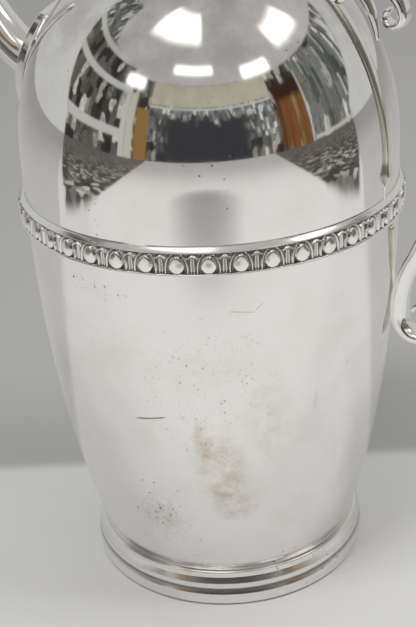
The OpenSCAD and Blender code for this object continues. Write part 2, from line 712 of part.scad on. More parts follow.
module finial() {
    n = 14;
    base_h = 2.6;
    neck_rise = 3.4;
    tip_h = 3.2;
    knob_z = base_h + neck_rise;
    knob_h = finial_h - knob_z - tip_h;
    knob = [for (i = [0:n]) let (t = i / n) [2.4 + (knob_r - 2.4) * sin(180 * pow(t, 0.8)) - 1.1 * t, knob_z + knob_h * t]];
    color("silver") {
        translate([0, 0, finial_z]) rotate_extrude() polygon(concat(
            [[0, 0]], bead_points(3.6, 0, 1.6, 0.7, 6), [[3.4, 1.9], [2.6, base_h], [2.2, base_h + 1.6]],
            knob, bead_points(1, knob_z + knob_h, tip_h, 1.3, 8), [[0, finial_h]]
        ));
        translate([0, 0, lid_top_z - wall - nut_h - 1.2])
            cylinder(h = finial_z - lid_top_z + wall + nut_h + 2, r = stud_r);
    }
}

module finial_nut() {
    color("silver") translate([0, 0, lid_top_z - wall - nut_h - seat_gap]) difference() {
        cylinder(h = nut_h, r = stud_r * 2, $fn = 6);
        translate([0, 0, -1]) cylinder(h = nut_h + 2, r = stud_r + seat_gap);
    }
}

foot_ring();
bottom_plate();
lower_body();
upper_body();
belt();
neck_band();
spout_base();
spout();
back_strap();
upper_scroll();
upper_sockets();
upper_insulator();
grip();
lower_insulator();
lower_sockets();
cross_pins();
lower_scroll();
strut();
body_hinge_leaf();
lid_hinge_leaf();
hinge_pin();
lid();
lid_bezel();
finial_plate();
finial_washer();
finial();
finial_nut();
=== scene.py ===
"""Footed coffee pot in polished silver plate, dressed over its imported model.

Every piece is a surface worked out with numpy in millimetres and stored in metres.
"""
import json
import math

import bpy
import numpy as np
from mathutils import Matrix

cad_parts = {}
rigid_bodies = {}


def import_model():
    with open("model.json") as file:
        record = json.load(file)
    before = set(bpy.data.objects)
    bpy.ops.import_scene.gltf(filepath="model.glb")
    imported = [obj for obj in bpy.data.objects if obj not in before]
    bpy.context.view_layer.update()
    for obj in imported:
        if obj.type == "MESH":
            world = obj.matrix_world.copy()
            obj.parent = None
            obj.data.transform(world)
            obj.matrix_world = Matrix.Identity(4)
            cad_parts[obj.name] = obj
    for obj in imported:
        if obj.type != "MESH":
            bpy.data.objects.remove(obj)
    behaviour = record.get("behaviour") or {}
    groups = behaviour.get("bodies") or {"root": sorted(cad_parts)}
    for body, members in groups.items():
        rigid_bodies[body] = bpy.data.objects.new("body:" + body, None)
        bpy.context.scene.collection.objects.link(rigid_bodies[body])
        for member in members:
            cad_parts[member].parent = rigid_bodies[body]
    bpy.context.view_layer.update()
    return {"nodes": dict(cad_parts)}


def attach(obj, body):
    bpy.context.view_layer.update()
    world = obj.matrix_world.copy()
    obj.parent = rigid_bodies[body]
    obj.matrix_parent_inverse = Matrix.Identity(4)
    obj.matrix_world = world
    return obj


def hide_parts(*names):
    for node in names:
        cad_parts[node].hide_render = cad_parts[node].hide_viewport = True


bl_info = {
    "name": "Silver Plate Coffee Pot",
    "version": (1, 0, 0),
    "blender": (4, 5, 0),
    "location": "View3D > Sidebar > Coffee Pot",
    "description": "Builds the surfaces, finishes and stage of a footed coffee pot",
    "category": "Object",
}

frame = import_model()
MM = 0.001
TAU = 2 * math.pi

# ---- sizes shared by the pieces, in millimetres ----
BODY_R = 56.0
BASE_R = 41.4
WALL = 1.2
CLEAR = 0.05  # gap that keeps two pieces apart
FOOT_H = 12.1
SEAM_Z = 124.0
DOME_Z = 140.0
DOME_H = 60.0
LOWER_B = (SEAM_Z - FOOT_H) / math.sqrt(1 - (BASE_R / BODY_R) ** 2)
NECK_R = 31.0
NECK_Z = DOME_Z + DOME_H * math.sqrt(1 - (NECK_R / BODY_R) ** 2)
MOUTH_Z = NECK_Z + 4.5
BELT_LOW = 119.9
BELT_TOP = 128.1
BELT_R = 57.0  # radius at which the belt's repeats are laid out
GROUND_R = 56.8  # of the ground between its eggs and darts
MOTIFS = 42
PITCH = TAU * BELT_R / MOTIFS
LID_Z = MOUTH_Z + 0.2
LID_R = 32.8
LID_DOME_R = 30.6
LID_DOME_Z = LID_Z + 2.0
LID_DOME_H = 15.0
LID_TOP_R = 5.5
LID_TOP_Z = LID_DOME_Z + LID_DOME_H * math.sqrt(1 - (LID_TOP_R / LID_DOME_R) ** 2)
STEAM_HOLE_R = 2.05
ROOT_Z = 153.0
ROOT_X = -BODY_R * math.sqrt(1 - ((ROOT_Z - DOME_Z) / DOME_H) ** 2)
ROOT_TILT = math.radians(22)
# x, z and angle of each handle joint's axis
UPPER_JOINT = (52.5, NECK_Z + 4, math.radians(52))
LOWER_JOINT = (70.5, 118.5, math.radians(57))
SOCKET_R = 4.6
SOCKET_L = 4.5
DISC_R = 5.0
DISC_T = 2.6
TENON_R = 2.5
JOINT_L = 2 * SOCKET_L + DISC_T


# ---- surfaces ----
def patch(points, wrap_u=False, wrap_v=False):
    """Four-sided faces over a grid of points, joined across its ends where it wraps."""
    points = np.asarray(points, float)
    nu, nv = points.shape[:2]
    i = np.arange(nu if wrap_u else nu - 1)
    j = np.arange(nv if wrap_v else nv - 1)
    i, j = [a.ravel() for a in np.meshgrid(i, j, indexing="ij")]
    i1, j1 = (i + 1) % nu, (j + 1) % nv
    faces = np.stack([i * nv + j, i1 * nv + j, i1 * nv + j1, i * nv + j1], axis=1)
    return points.reshape(-1, 3), faces


def outward(verts, faces):
    """The same faces, turned round if the closed surface's signed volume is negative."""
    a, b, c, d = (verts[faces[:, k]] for k in range(4))
    volume = (a * np.cross(b, c)).sum() + (a * np.cross(c, d)).sum()
    return faces if volume > 0 else faces[:, ::-1]


def make_mesh(name, patches, closed=True, values=None):
    """One mesh from several patches. Points that coincide are welded, and a face that loses
    a corner at a pole becomes a triangle. The values, one for each point, darken it: tarnish
    in hollows, and painted shade along the edges of the handle's strap and strut."""
    verts, faces, start = [], [], 0
    for v, f in patches:
        faces.append((outward(v, f) if closed else f) + start)
        verts.append(v)
        start += len(v)
    verts, faces = np.concatenate(verts), np.concatenate(faces)
    _, first, index = np.unique(np.round(verts, 4), axis=0, return_index=True, return_inverse=True)
    verts, faces = verts[first], index.reshape(-1)[faces]
    keep = faces != np.roll(faces, -1, axis=1)
    whole = keep.sum(axis=1) >= 3
    faces, keep = faces[whole], keep[whole]
    totals = keep.sum(axis=1)
    starts = np.concatenate([[0], np.cumsum(totals)[:-1]])
    mesh = bpy.data.meshes.new(name)
    mesh.vertices.add(len(verts))
    mesh.vertices.foreach_set("co", (verts * MM).astype(np.float32).ravel())
    mesh.loops.add(int(totals.sum()))
    mesh.loops.foreach_set("vertex_index", faces[keep].astype(np.int32))
    mesh.polygons.add(len(totals))
    mesh.polygons.foreach_set("loop_start", starts.astype(np.int32))
    mesh.polygons.foreach_set("use_smooth", np.ones(len(totals), bool))
    mesh.update(calc_edges=True)
    if values is not None:
        depth = np.concatenate([np.ravel(v) for v in values])[first]
        layer = mesh.attributes.new("depth", "FLOAT", "POINT")
        layer.data.foreach_set("value", depth.astype(np.float32))
    mesh.validate()
    return mesh


def add_object(name, data):
    """A new object in the scene, at the origin."""
    obj = bpy.data.objects.new(name, data)
    bpy.context.scene.collection.objects.link(obj)
    return obj


def make_piece(name, patches, node, finish, body="pot", values=None):
    """A finished piece: its mesh, its material, its body and the node that it stands for."""
    obj = add_object(name, make_mesh(name, patches, values=values))
    obj.data.materials.append(finishes()[finish])
    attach(obj, body)
    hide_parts(node)


def dress(names, finish):
    """Gives carried-over nodes their material."""
    for name in names:
        materials = frame["nodes"][name].data.materials
        materials.clear()
        materials.append(finishes()[finish])


def turn(profile, count=256):
    """Surface of revolution: each (r, z) of the profile swept round the pot's axis."""
    profile = np.asarray(profile, float)
    a = np.linspace(0, TAU, count, endpoint=False)[:, None]
    grid = np.stack([profile[:, 0] * np.cos(a), profile[:, 0] * np.sin(a),
                     profile[:, 1] + 0 * a], axis=2)
    return patch(grid, wrap_u=True)


def turn_closed(profile, count=256):
    """The same for a profile that is a closed loop."""
    profile = np.asarray(profile, float)
    return turn(np.concatenate([profile, profile[:1]]), count)


def rounded(corners, steps=5, closed=True):
    """Polyline whose corners (x, y, radius) are replaced by arcs tangent to both sides."""
    corners = [tuple(c) + (0.0,) * (3 - len(c)) for c in corners]
    out, n = [], len(corners)
    for k, (x, y, radius) in enumerate(corners):
        here = np.array([x, y])
        if radius <= 0 or (not closed and k in (0, n - 1)):
            out.append(here[None])
            continue
        back = np.array(corners[k - 1][:2]) - here
        ahead = np.array(corners[(k + 1) % n][:2]) - here
        lb, la = np.linalg.norm(back), np.linalg.norm(ahead)
        back, ahead = back / lb, ahead / la
        half = math.acos(np.clip(back @ ahead, -1, 1)) / 2
        reach = min(radius / math.tan(half), lb * 0.49, la * 0.49)
        radius = reach * math.tan(half)
        middle = (back + ahead) / np.linalg.norm(back + ahead)
        centre = here + middle * radius / math.sin(half)
        p, q = here + back * reach - centre, here + ahead * reach - centre
        t = np.linspace(0, 1, steps + 1)[:, None]
        swing = math.pi - 2 * half
        p, q = np.sin((1 - t) * swing) * p, np.sin(t * swing) * q
        out.append(centre + (p + q) / math.sin(swing))
    return np.concatenate(out)


def arc(cx, cy, rx, ry, a0, a1, n):
    """Points on an ellipse from angle a0 to a1, in degrees."""
    a = np.radians(np.linspace(a0, a1, n))
    return np.stack([cx + rx * np.cos(a), cy + ry * np.sin(a)], axis=1)


def angle_at(r, reach):
    """Angle in degrees at which an ellipse that reaches so far out is r from the axis."""
    return math.degrees(math.acos(r / reach))


def spiral(x, z, start, sweep, r0, r1, n, tall=1.0):
    """Flat curl: the radius runs evenly from r0 to r1 as it turns through sweep degrees."""
    turns = np.radians(start + sweep * np.linspace(0, 1, n))
    r = np.linspace(r0, r1, n)
    return np.stack([x + r * np.cos(turns), z + tall * r * np.sin(turns)], axis=1)


def bezier(points, n):
    """Cubic Bezier curve through the first and last of four points."""
    t = np.linspace(0, 1, n)[:, None]
    a, b, c, d = (np.asarray(p, float) for p in points)
    return (1 - t) ** 3 * a + 3 * (1 - t) ** 2 * t * b + 3 * (1 - t) * t * t * c + t ** 3 * d


def even(path, n):
    """The same curve with n points at equal distances, through a cubic interpolation."""
    path = np.asarray(path, float)
    s = np.concatenate([[0], np.cumsum(np.linalg.norm(np.diff(path, axis=0), axis=1))])
    t = np.linspace(0, s[-1], n)
    slope = np.gradient(path, s, axis=0)
    k = np.clip(np.searchsorted(s, t) - 1, 0, len(s) - 2)
    h = (s[k + 1] - s[k])[:, None]
    u = ((t - s[k])[:, None]) / h
    return ((2 * u ** 3 - 3 * u ** 2 + 1) * path[k] + (u ** 3 - 2 * u ** 2 + u) * h * slope[k]
            + (3 * u ** 2 - 2 * u ** 3) * path[k + 1] + (u ** 3 - u ** 2) * h * slope[k + 1])


def graded(values, n):
    """Values at equal steps, read off smoothly at n places."""
    values = np.asarray(values, float)
    x = np.linspace(0, len(values) - 1, n)
    k = np.minimum(x.astype(int), len(values) - 2)
    u = x - k
    u = u * u * (3 - 2 * u)
    return values[k] * (1 - u) + values[k + 1] * u


def smooth(x, low, high):
    """0 below low, 1 above high and an S-curve between, for arrays."""
    t = np.clip((x - low) / (high - low), 0, 1)
    return t * t * (3 - 2 * t)


def in_plane(path):
    """Unit tangent and the normal on its left, for a path of (x, z) points."""
    d = np.gradient(path, axis=0)
    d /= np.linalg.norm(d, axis=1)[:, None]
    return d, np.stack([-d[:, 1], d[:, 0]], axis=1)


def bar(path, half_t, half_w, sides=32, power=2.0, caps=(1.0, 1.0), cap_rings=8):
    """Bar swept along (x, z) points in the handle's plane. Its section is a superellipse of
    half thickness half_t and half width half_w, given at even steps along the path, and each
    end closes in a round cap."""
    path = np.asarray(path, float)
    d, normal = in_plane(path)
    t, w = (v if len(v) == len(path) else graded(v, len(path)) for v in (half_t, half_w))
    bend = np.radians(np.linspace(0, 90, cap_rings + 1))[1:]
    first, last = ((np.sin(bend) * cap * min(t[end], w[end]))[:, None] * d[end]
                   for end, cap in zip((0, -1), caps))
    path = np.concatenate([(path[0] - first)[::-1], path, path[-1] + last])
    rows = np.clip(np.arange(len(path)) - cap_rings, 0, len(normal) - 1)
    normal, t, w = normal[rows], t[rows], w[rows]
    shrink = np.ones(len(path))
    shrink[:cap_rings], shrink[-cap_rings:] = np.cos(bend)[::-1], np.cos(bend)
    t, w = t * shrink, w * shrink
    a = np.linspace(0, TAU, sides, endpoint=False)
    c, s = (np.sign(v) * np.abs(v) ** (2 / power) for v in (np.cos(a), np.sin(a)))
    x, z = (path[:, k, None] + normal[:, k, None] * t[:, None] * c for k in (0, 1))
    return patch(np.stack([x, w[:, None] * s, z], axis=2), wrap_v=True)


def joint_frame(joint):
    """Origin and local axes (x, y, z) of a handle joint: z runs along the handle."""
    x, z, angle = joint
    c, s = math.cos(angle), math.sin(angle)
    return np.array([x, 0, z]), np.array([s, 0, -c]), np.array([0, 1.0, 0]), np.array([c, 0, s])


def along(joint, length):
    """Point in the (x, z) plane at that distance along a joint's axis."""
    x, z, angle = joint
    return np.array([x + length * math.cos(angle), z + length * math.sin(angle)])


def place(p, joint):
    """A patch made round local z, moved on to a handle joint."""
    origin, ax, ay, az = joint_frame(joint)
    verts, faces = p
    return origin + verts[:, :1] * ax + verts[:, 1:2] * ay + verts[:, 2:] * az, faces


def lower_r(z):
    """Radius of the outside of the lower shell."""
    return BODY_R * np.sqrt(1 - ((SEAM_Z - z) / LOWER_B) ** 2)


def on_dome(angle, lift):
    """Point on the dome's outline at that ellipse angle, in degrees, lifted off it."""
    return arc(0, DOME_Z, BODY_R + lift, DOME_H + lift, angle, angle, 1)[0]


# ---- node trees ----
class Wire:
    """An output in a node tree. Arithmetic on it adds Math nodes."""

    def __init__(self, tree, socket):
        self.tree, self.socket = tree, socket

    def math(self, operation, *others):
        return self.tree.node("ShaderNodeMath", {"operation": operation},
                              dict(enumerate((self, *others))))

    def __add__(self, other):
        return self.math("ADD", other)

    def __sub__(self, other):
        return self.math("SUBTRACT", other)

    def __rsub__(self, other):
        return self.tree.node("ShaderNodeMath", {"operation": "SUBTRACT"}, {0: other, 1: self})

    def __mul__(self, other):
        return self.math("MULTIPLY", other)

    def __truediv__(self, other):
        return self.math("DIVIDE", other)

    def __abs__(self):
        return self.math("ABSOLUTE")

    __radd__ = __add__
    __rmul__ = __mul__

    def at_least(self, other):
        return self.math("MAXIMUM", other)

    def at_most(self, other):
        return self.math("MINIMUM", other)

    def ease(self, start, end):
        """Runs smoothly from 0 to 1 as the value goes from start to end."""
        return self.tree.node("ShaderNodeMapRange", {"interpolation_type": "SMOOTHSTEP"},
                              {"Value": self, "From Min": start, "From Max": end})

    def between(self, low, high, soft):
        """1 inside low..high and 0 outside, with an edge that is soft wide."""
        half = soft / 2
        return self.ease(low - half, low + half) * self.ease(high + half, high - half)


def rgb(colour):
    """A colour with its alpha, or a wire as it is."""
    return colour if isinstance(colour, Wire) else (*tuple(colour)[:3], 1.0)


def shaded(tint, by):
    """A colour with each channel multiplied."""
    return [c * k for c, k in zip(tint, by)]


class Tree:
    """A node tree that is filled by calls."""

    def __init__(self, owner):
        owner.use_nodes = True
        self.tree = owner.node_tree
        self.tree.nodes.clear()

    def node(self, kind, settings=None, inputs=None, output=0):
        """Adds a node, sets its settings, then the values or links of its inputs."""
        made = self.tree.nodes.new(kind)
        for key, value in (settings or {}).items():
            if key == "stops":
                ramp = made.color_ramp
                while len(ramp.elements) < len(value):
                    ramp.elements.new(1.0)
                for element, (position, colour) in zip(ramp.elements, value):
                    element.position, element.color = position, rgb(colour)
            else:
                setattr(made, key, value)
        for key, value in (inputs or {}).items():
            if isinstance(value, Wire):
                self.tree.links.new(value.socket, made.inputs[key])
            else:
                made.inputs[key].default_value = value
        return Wire(self, made.outputs[output]) if made.outputs else None

    def also(self, wire, output):
        """Another output of the node that a wire comes from."""
        return Wire(self, wire.socket.node.outputs[output])

    def place(self):
        """Where a point is on its piece, in metres."""
        return self.node("ShaderNodeTexCoord", output="Object")

    def mix(self, factor, first, second):
        """Colour between two colours."""
        return self.node("ShaderNodeMix", {"data_type": "RGBA"},
                         {"Factor": factor, 6: rgb(first), 7: rgb(second)}, output=2)

    def noise(self, place, scale, detail=3.0, rough=0.55):
        return self.node("ShaderNodeTexNoise", None, {
            "Vector": place, "Scale": scale, "Detail": detail, "Roughness": rough}, "Fac")

    def dot(self, place, axis):
        """How far a place lies along an axis."""
        return self.node("ShaderNodeVectorMath", {"operation": "DOT_PRODUCT"},
                         {0: place, 1: axis}, "Value")

    def spots(self, place, scale):
        """Distance to the nearest of many scattered points, in cells."""
        return self.node("ShaderNodeTexVoronoi", None,
                         {"Vector": place, "Scale": scale}, "Distance")

    def boxes(self, place, scale, uneven=1.0):
        """Rough boxes side by side in a plane, with a number from 0 to 1 for each."""
        cell = self.node("ShaderNodeTexVoronoi",
                         {"voronoi_dimensions": "2D", "distance": "CHEBYCHEV"},
                         {"Vector": place, "Scale": scale, "Randomness": uneven}, "Color")
        return self.node("ShaderNodeSeparateColor", None, {"Color": cell}, "Red")

    def ramp(self, factor, stops):
        """Colour read off a ramp of (position, colour) stops."""
        return self.node("ShaderNodeValToRGB", {"stops": stops}, {"Fac": factor})

    def bump(self, height, strength, distance):
        return self.node("ShaderNodeBump", None, {"Strength": strength, "Distance": distance,
                                                  "Height": height}, "Normal")

    def surface(self, inputs):
        """Closes the tree with one surface shader."""
        shader = self.node("ShaderNodeBsdfPrincipled", None, inputs)
        self.node("ShaderNodeOutputMaterial", None, {"Surface": shader})


# Heights in metres between which the dome's smoky bloom sets in
SMOKE_Z = (0.158, 0.182)


def silver(name, tint, tarnish, gloss, wear, lines=0.004, with_tarnish_and_shade=False, marks=False, smear=False):
    """Polished silver plate: a warm mirror with fine polishing scratches, faint haze,
    pits and brown tarnish, darkest in the recesses of cast pieces, with painted shade
    along the edges of the handle's strap and strut."""
    material = bpy.data.materials.new(name)
    t = Tree(material)
    place = t.place()
    fine = t.noise(place, 260.0, 5.0, 0.6)
    haze = t.noise(place, 28.0, 4.0).ease(0.5, 0.78) * fine.ease(0.35, 0.7)
    pit = t.spots(place, 420.0).ease(0.16, 0.07) * t.noise(place, 34.0, 2.0).ease(0.56, 0.68)
    stain = t.noise(place, 17.0, 5.0, 0.62).ease(0.6, 0.8) * fine.ease(0.3, 0.62)
    dirt_and_shade = (pit * 0.8 + stain * 0.35) * wear
    # The attribute holds tarnish in the hollows of cast pieces and painted shade along the edges of
    # the handle's strap and strut.
    if with_tarnish_and_shade:
        depth = t.node("ShaderNodeAttribute", {"attribute_name": "depth"}, output="Fac")
        dirt_and_shade = dirt_and_shade + depth * (fine * 0.5 + 0.62)
    if marks:
        cuts, stains = body_marks(t, place)
        dirt_and_shade = dirt_and_shade + cuts
    dirt_and_shade = dirt_and_shade.at_most(1.0)
    veil = t.noise(place, 46.0, 6.0, 0.66).ease(0.42, 0.72) * (0.5 * wear)
    clean = t.mix(veil, tint, shaded(tint, (0.86, 0.84, 0.8)))
    if smear:
        high = t.dot(place, (0, 0, 1)).ease(*SMOKE_Z)
        smoke = high * t.noise(place, 48.0, 6.0, 0.66).ease(0.36, 0.62)
        clean = t.mix(smoke * (0.75 * wear), clean, shaded(tint, (0.64, 0.62, 0.62)))
    if marks:
        clean = t.mix(stains.at_most(1.0) * wear, clean, shaded(tint, (0.62, 0.53, 0.4)))
    rough = gloss + haze * (0.16 * wear) + dirt_and_shade * 0.3 + t.noise(place, 90.0, 3.0) * 0.03
    lathe = t.node("ShaderNodeMapping", None, {"Vector": place, "Scale": (1.0, 1.0, 14.0)})
    scratch = t.noise(lathe, 160.0, 6.0, 0.72)
    height = t.noise(place, 9.0, 1.5, 0.4) + scratch * (lines * wear) - dirt_and_shade * 0.03
    t.surface({"Base Color": t.mix(dirt_and_shade, clean, tarnish), "Metallic": 1.0, "Roughness": rough,
               "Normal": t.bump(height, 0.35, 0.0004)})
    return material


# Wear on the lower shell: azimuth in degrees and height in mm of the middle, half sizes in mm
# along the round and upwards, slope, strength and kind. Azimuths are laid out at MARK_R.
CLOUD, CUT, SPECKS, MOTTLE = range(4)
MARK_R = 53.0
MARKS = (
    (-81.0, 72.4, 5.0, 0.30, 0.19, 1.0, CUT), (-84.5, 71.7, 2.6, 0.20, 0.19, 0.9, CUT),
    (-51.5, 107.9, 4.0, 0.16, -0.125, 0.45, CUT), (-46.6, 109.0, 1.2, 0.22, 0.9, 0.5, CUT),
    (-70.0, 97.0, 3.0, 0.09, 0.9, 0.3, CUT), (-72.0, 73.6, 2.5, 0.10, 0.19, 0.3, CUT),
    (-65.5, 66.0, 3.0, 8.0, 0, 0.9, CLOUD), (-60.0, 54.0, 9.0, 14.0, 0, 0.75, CLOUD),
    (-56.0, 41.5, 8.5, 8.0, 0, 0.8, CLOUD), (-44.0, 72.0, 8.0, 20.0, 0, 0.35, CLOUD),
    (-84.0, 36.0, 13.0, 10.0, 0, 1.0, SPECKS), (-97.0, 112.0, 13.0, 3.5, 0, 1.0, SPECKS),
    (-62.0, 82.0, 22.0, 30.0, 0, 0.42, SPECKS), (-84.0, 33.0, 9.0, 7.0, 0, 0.35, CLOUD),
    (-84.5, 35.5, 8.0, 7.5, 0, 0.8, MOTTLE), (-80.0, 26.0, 7.0, 4.0, 0, 0.5, MOTTLE),
    (-28.6, 74.4, 1.2, 3.2, 0, 0.8, CLOUD), (-17.0, 81.5, 3.0, 4.5, 0, 0.3, MOTTLE),
)


def body_marks(t, place):
    """Cuts, specks, mottling and clouds at their own places round the lower shell."""
    parts = t.node("ShaderNodeSeparateXYZ", None, {"Vector": place})
    x, y, z = (t.also(parts, k) for k in "XYZ")
    wobble = t.noise(place, 130.0, 3.0) - 0.5
    round_mm = y.math("ARCTAN2", x) * MARK_R
    height = z * (1 / MM)
    soft = t.noise(place, 230.0, 5.0, 0.7)
    coarse, fine = (
        t.spots(place, size).ease(0.3, 0.1) * t.noise(place, size / 3, 2.0).ease(0.5, 0.6)
        for size in (560.0, 1100.0))
    dust = t.noise(place, 1500.0, 3.0, 0.7).ease(0.56, 0.68)
    specks = coarse.at_least(fine * 0.8).at_least(dust * 0.35)
    sums = [None] * 4
    for azimuth, middle, half_u, half_v, slope, strength, kind in MARKS:
        u = round_mm - math.radians(azimuth) * MARK_R
        v = height - middle - u * slope + wobble * (0.8 if kind == CUT else 5.0)
        if kind == CUT:
            mask = abs(u).ease(half_u, half_u * 0.6) * abs(v).ease(half_v, half_v * 0.3)
        else:
            u, v = u / half_u, v / half_v
            mask = (u * u + v * v).ease(1.3, 0.0)
        mask = mask * strength
        sums[kind] = sums[kind] + mask if sums[kind] else mask
    mottle = t.noise(place, 700.0, 4.0, 0.75).ease(0.5, 0.64) * 0.5
    cuts = sums[CUT] * soft.ease(0.25, 0.45) + sums[SPECKS] * specks + sums[MOTTLE] * mottle
    return cuts, sums[CLOUD] * soft.ease(0.3, 0.8)


def fibre(name, tint):
    """Hard black fibre: dull, very slightly mottled, with a fine turned grain."""
    material = bpy.data.materials.new(name)
    t = Tree(material)
    place = t.place()
    cloud = t.noise(place, 300.0, 4.0)
    colour = t.mix(cloud.ease(0.35, 0.7), tint, [c * 1.9 + 0.01 for c in tint])
    t.surface({"Base Color": colour, "Roughness": cloud * 0.2 + 0.38,
               "Normal": t.bump(t.noise(place, 1800.0, 3.0), 0.25, 0.0002)})
    return material


FINISHES = {}


def finishes():
    """The materials, made once from the panel's colours."""
    if not FINISHES:
        c = bpy.context.scene.pot_colours
        tint, tarnish = tuple(c.silver), tuple(c.tarnish)
        dull, more_wear = shaded(tint, (0.97, 0.945, 0.9)), min(c.wear * 1.5, 2.0)
        FINISHES.update(
            shell=silver("spun_silver_plate", tint, tarnish, 0.035, c.wear, smear=True),
            brushed=silver("rubbed_silver_plate", tint, tarnish, 0.15, c.wear, 0.012, marks=True),
            cast=silver("cast_silver_plate", tint, tarnish, 0.09, c.wear),
            # For the handle's strap and strut: worn plate, with painted shade along their edges
            # from the attribute.
            worn=silver("worn_silver_plate", dull, tarnish, 0.15, more_wear, with_tarnish_and_shade=True),
            relief=silver("chased_silver_plate", tint, tarnish, 0.13, c.wear, with_tarnish_and_shade=True),
            fibre=fibre("black_fibre", tuple(c.fibre)),
        )
    return FINISHES


# ---- panel values ----
def length(name, description, default, low, high):
    """A length in metres."""
    return bpy.props.FloatProperty(name=name, description=description, default=default, min=low,
                                   max=high, subtype="DISTANCE", unit="LENGTH")


def colour(name, description, default):
    return bpy.props.FloatVectorProperty(name=name, description=description, default=default,
                                         size=3, min=0, max=1, subtype="COLOR")


class PotSizes(bpy.types.PropertyGroup):
    motif_count: bpy.props.IntProperty(
        name="Eggs round the belt", description="Number of eggs, and of darts between them",
        default=MOTIFS, min=24, max=60)
    relief: length("Relief", "Depth of the belt's carving", 0.0014, 0.0004, 0.0016)
    grip_width: length("Grip width", "Width of the grip across the hand", 0.010, 0.007, 0.010)
    knob_radius: length("Knob radius", "Greatest radius of the lid's knob", 0.0065, 0.005, 0.0066)


class PotColours(bpy.types.PropertyGroup):
    silver: colour("Silver", "Colour of clean plate", (0.885, 0.88, 0.862))
    tarnish: colour("Tarnish", "Colour of tarnish and wear", (0.16, 0.12, 0.085))
    fibre: colour("Fibre", "Colour of the insulating discs", (0.022, 0.02, 0.018))
    wear: bpy.props.FloatProperty(name="Wear", description="Amount of haze, pits and stains",
                                  default=1.0, min=0, max=2, subtype="FACTOR")


# ---- operators ----
class PotPiece:
    """What the operators share."""

    bl_options = {"REGISTER"}


# Lines in the foot's recesses: darkness, height and spread
FOOT_DARK = ((0.9, 5.75, 0.3), (0.7, 8.3, 0.35), (0.5, FOOT_H, 0.35))


class POT_OT_foot(PotPiece, bpy.types.Operator):
    """Turned foot: a closed profile of three bands and two grooves, revolved"""

    bl_idname = "pot.foot"
    bl_label = "Foot"

    def execute(self, context):
        inner, count = BASE_R - WALL, 288
        profile = rounded([
            (inner, 0.0), (44.4, 0.0, 1.3), (44.5, 4.1, 0.7), (43.75, 5.75, 0.25), (44.0, 6.4, 0.5),
            (43.85, 7.8, 0.6), (42.95, 10.0, 2.0), (42.95, 11.6, 0.6), (BASE_R + 0.3, 11.85, 0.2),
            (BASE_R, FOOT_H), (inner, FOOT_H)
        ], steps=8)
        r, z = np.append(profile, profile[:1], axis=0).T
        dark = sum(k * np.exp(-((z - at) / spread) ** 2) for k, at, spread in FOOT_DARK)
        dark = dark * (r > BASE_R)
        make_piece("foot", [turn_closed(profile, count)], "foot_ring", "relief",
                   values=[np.repeat(dark[None], count, axis=0)])
        return {"FINISHED"}


class POT_OT_shells(PotPiece, bpy.types.Operator):
    """Lower and upper shells: ellipses in profile, offset inwards by the wall and revolved"""

    bl_idname = "pot.shells"
    bl_label = "Shells"

    def execute(self, context):
        inner_r, neck_in = BODY_R - WALL, NECK_R - WALL
        z = np.linspace(FOOT_H, SEAM_Z, 110)
        outer = np.stack([lower_r(z), z], axis=1)
        lap = inner_r - CLEAR
        joggle = [[lap, SEAM_Z], [lap, SEAM_Z + 4], [lap - WALL, SEAM_Z + 4],
                  [lap - WALL, SEAM_Z - 1.5], [inner_r, SEAM_Z - 3]]
        inside = (outer[:-3:4] - [WALL, 0])[::-1]
        make_piece("shell_lower", [turn_closed(np.concatenate([outer, joggle, inside]))],
                   "lower_body", "brushed")

        side = np.stack([np.full(8, BODY_R), np.linspace(SEAM_Z, DOME_Z, 9)[:-1]], axis=1)
        dome = arc(0, DOME_Z, BODY_R, DOME_H, 0, angle_at(NECK_R, BODY_R), 90)
        neck = rounded([dome[-9], (dome[-1][0] + 0.05, dome[-1][1], 1.2), (NECK_R, MOUTH_Z, 0.15),
                        (neck_in, MOUTH_Z, 0.15)], closed=False)[1:-1]
        inside = arc(0, DOME_Z, inner_r, DOME_H - WALL, 0, angle_at(neck_in, inner_r), 50)[::-1]
        upper = np.concatenate([side, dome[:-8], neck, inside, [[inner_r, SEAM_Z]]])
        make_piece("shell_upper", [turn_closed(upper)], "upper_body", "shell")

        out = np.linspace(1, 0, 24)
        top = np.stack([(BASE_R - WALL - CLEAR) * out, FOOT_H + WALL + 3 * (1 - out ** 2)], axis=1)
        make_piece("base_plate", [turn(np.concatenate([top[::-1], top - [0, WALL]]), 128)],
                   "bottom_plate", "shell")

        inner, outer, low = NECK_R + CLEAR, 33.0, MOUTH_Z - 3.2
        band = rounded([(inner, low), (outer, low, 0.9), (outer, MOUTH_Z, 0.8), (inner, MOUTH_Z)])
        make_piece("neck_ring", [turn_closed(band, 192)], "neck_band", "cast")
        return {"FINISHED"}


# Places of the belt's rows of points across half a repeat
HALF_STEPS = np.array([0, 50, 95, 130, 160, 185, 202, 216, 235, 255, 272, 288, 304, 322, 342, 358,
                       374, 390, 408]) / 853
EGG_UP = 2.1
STEM_B = 0.42


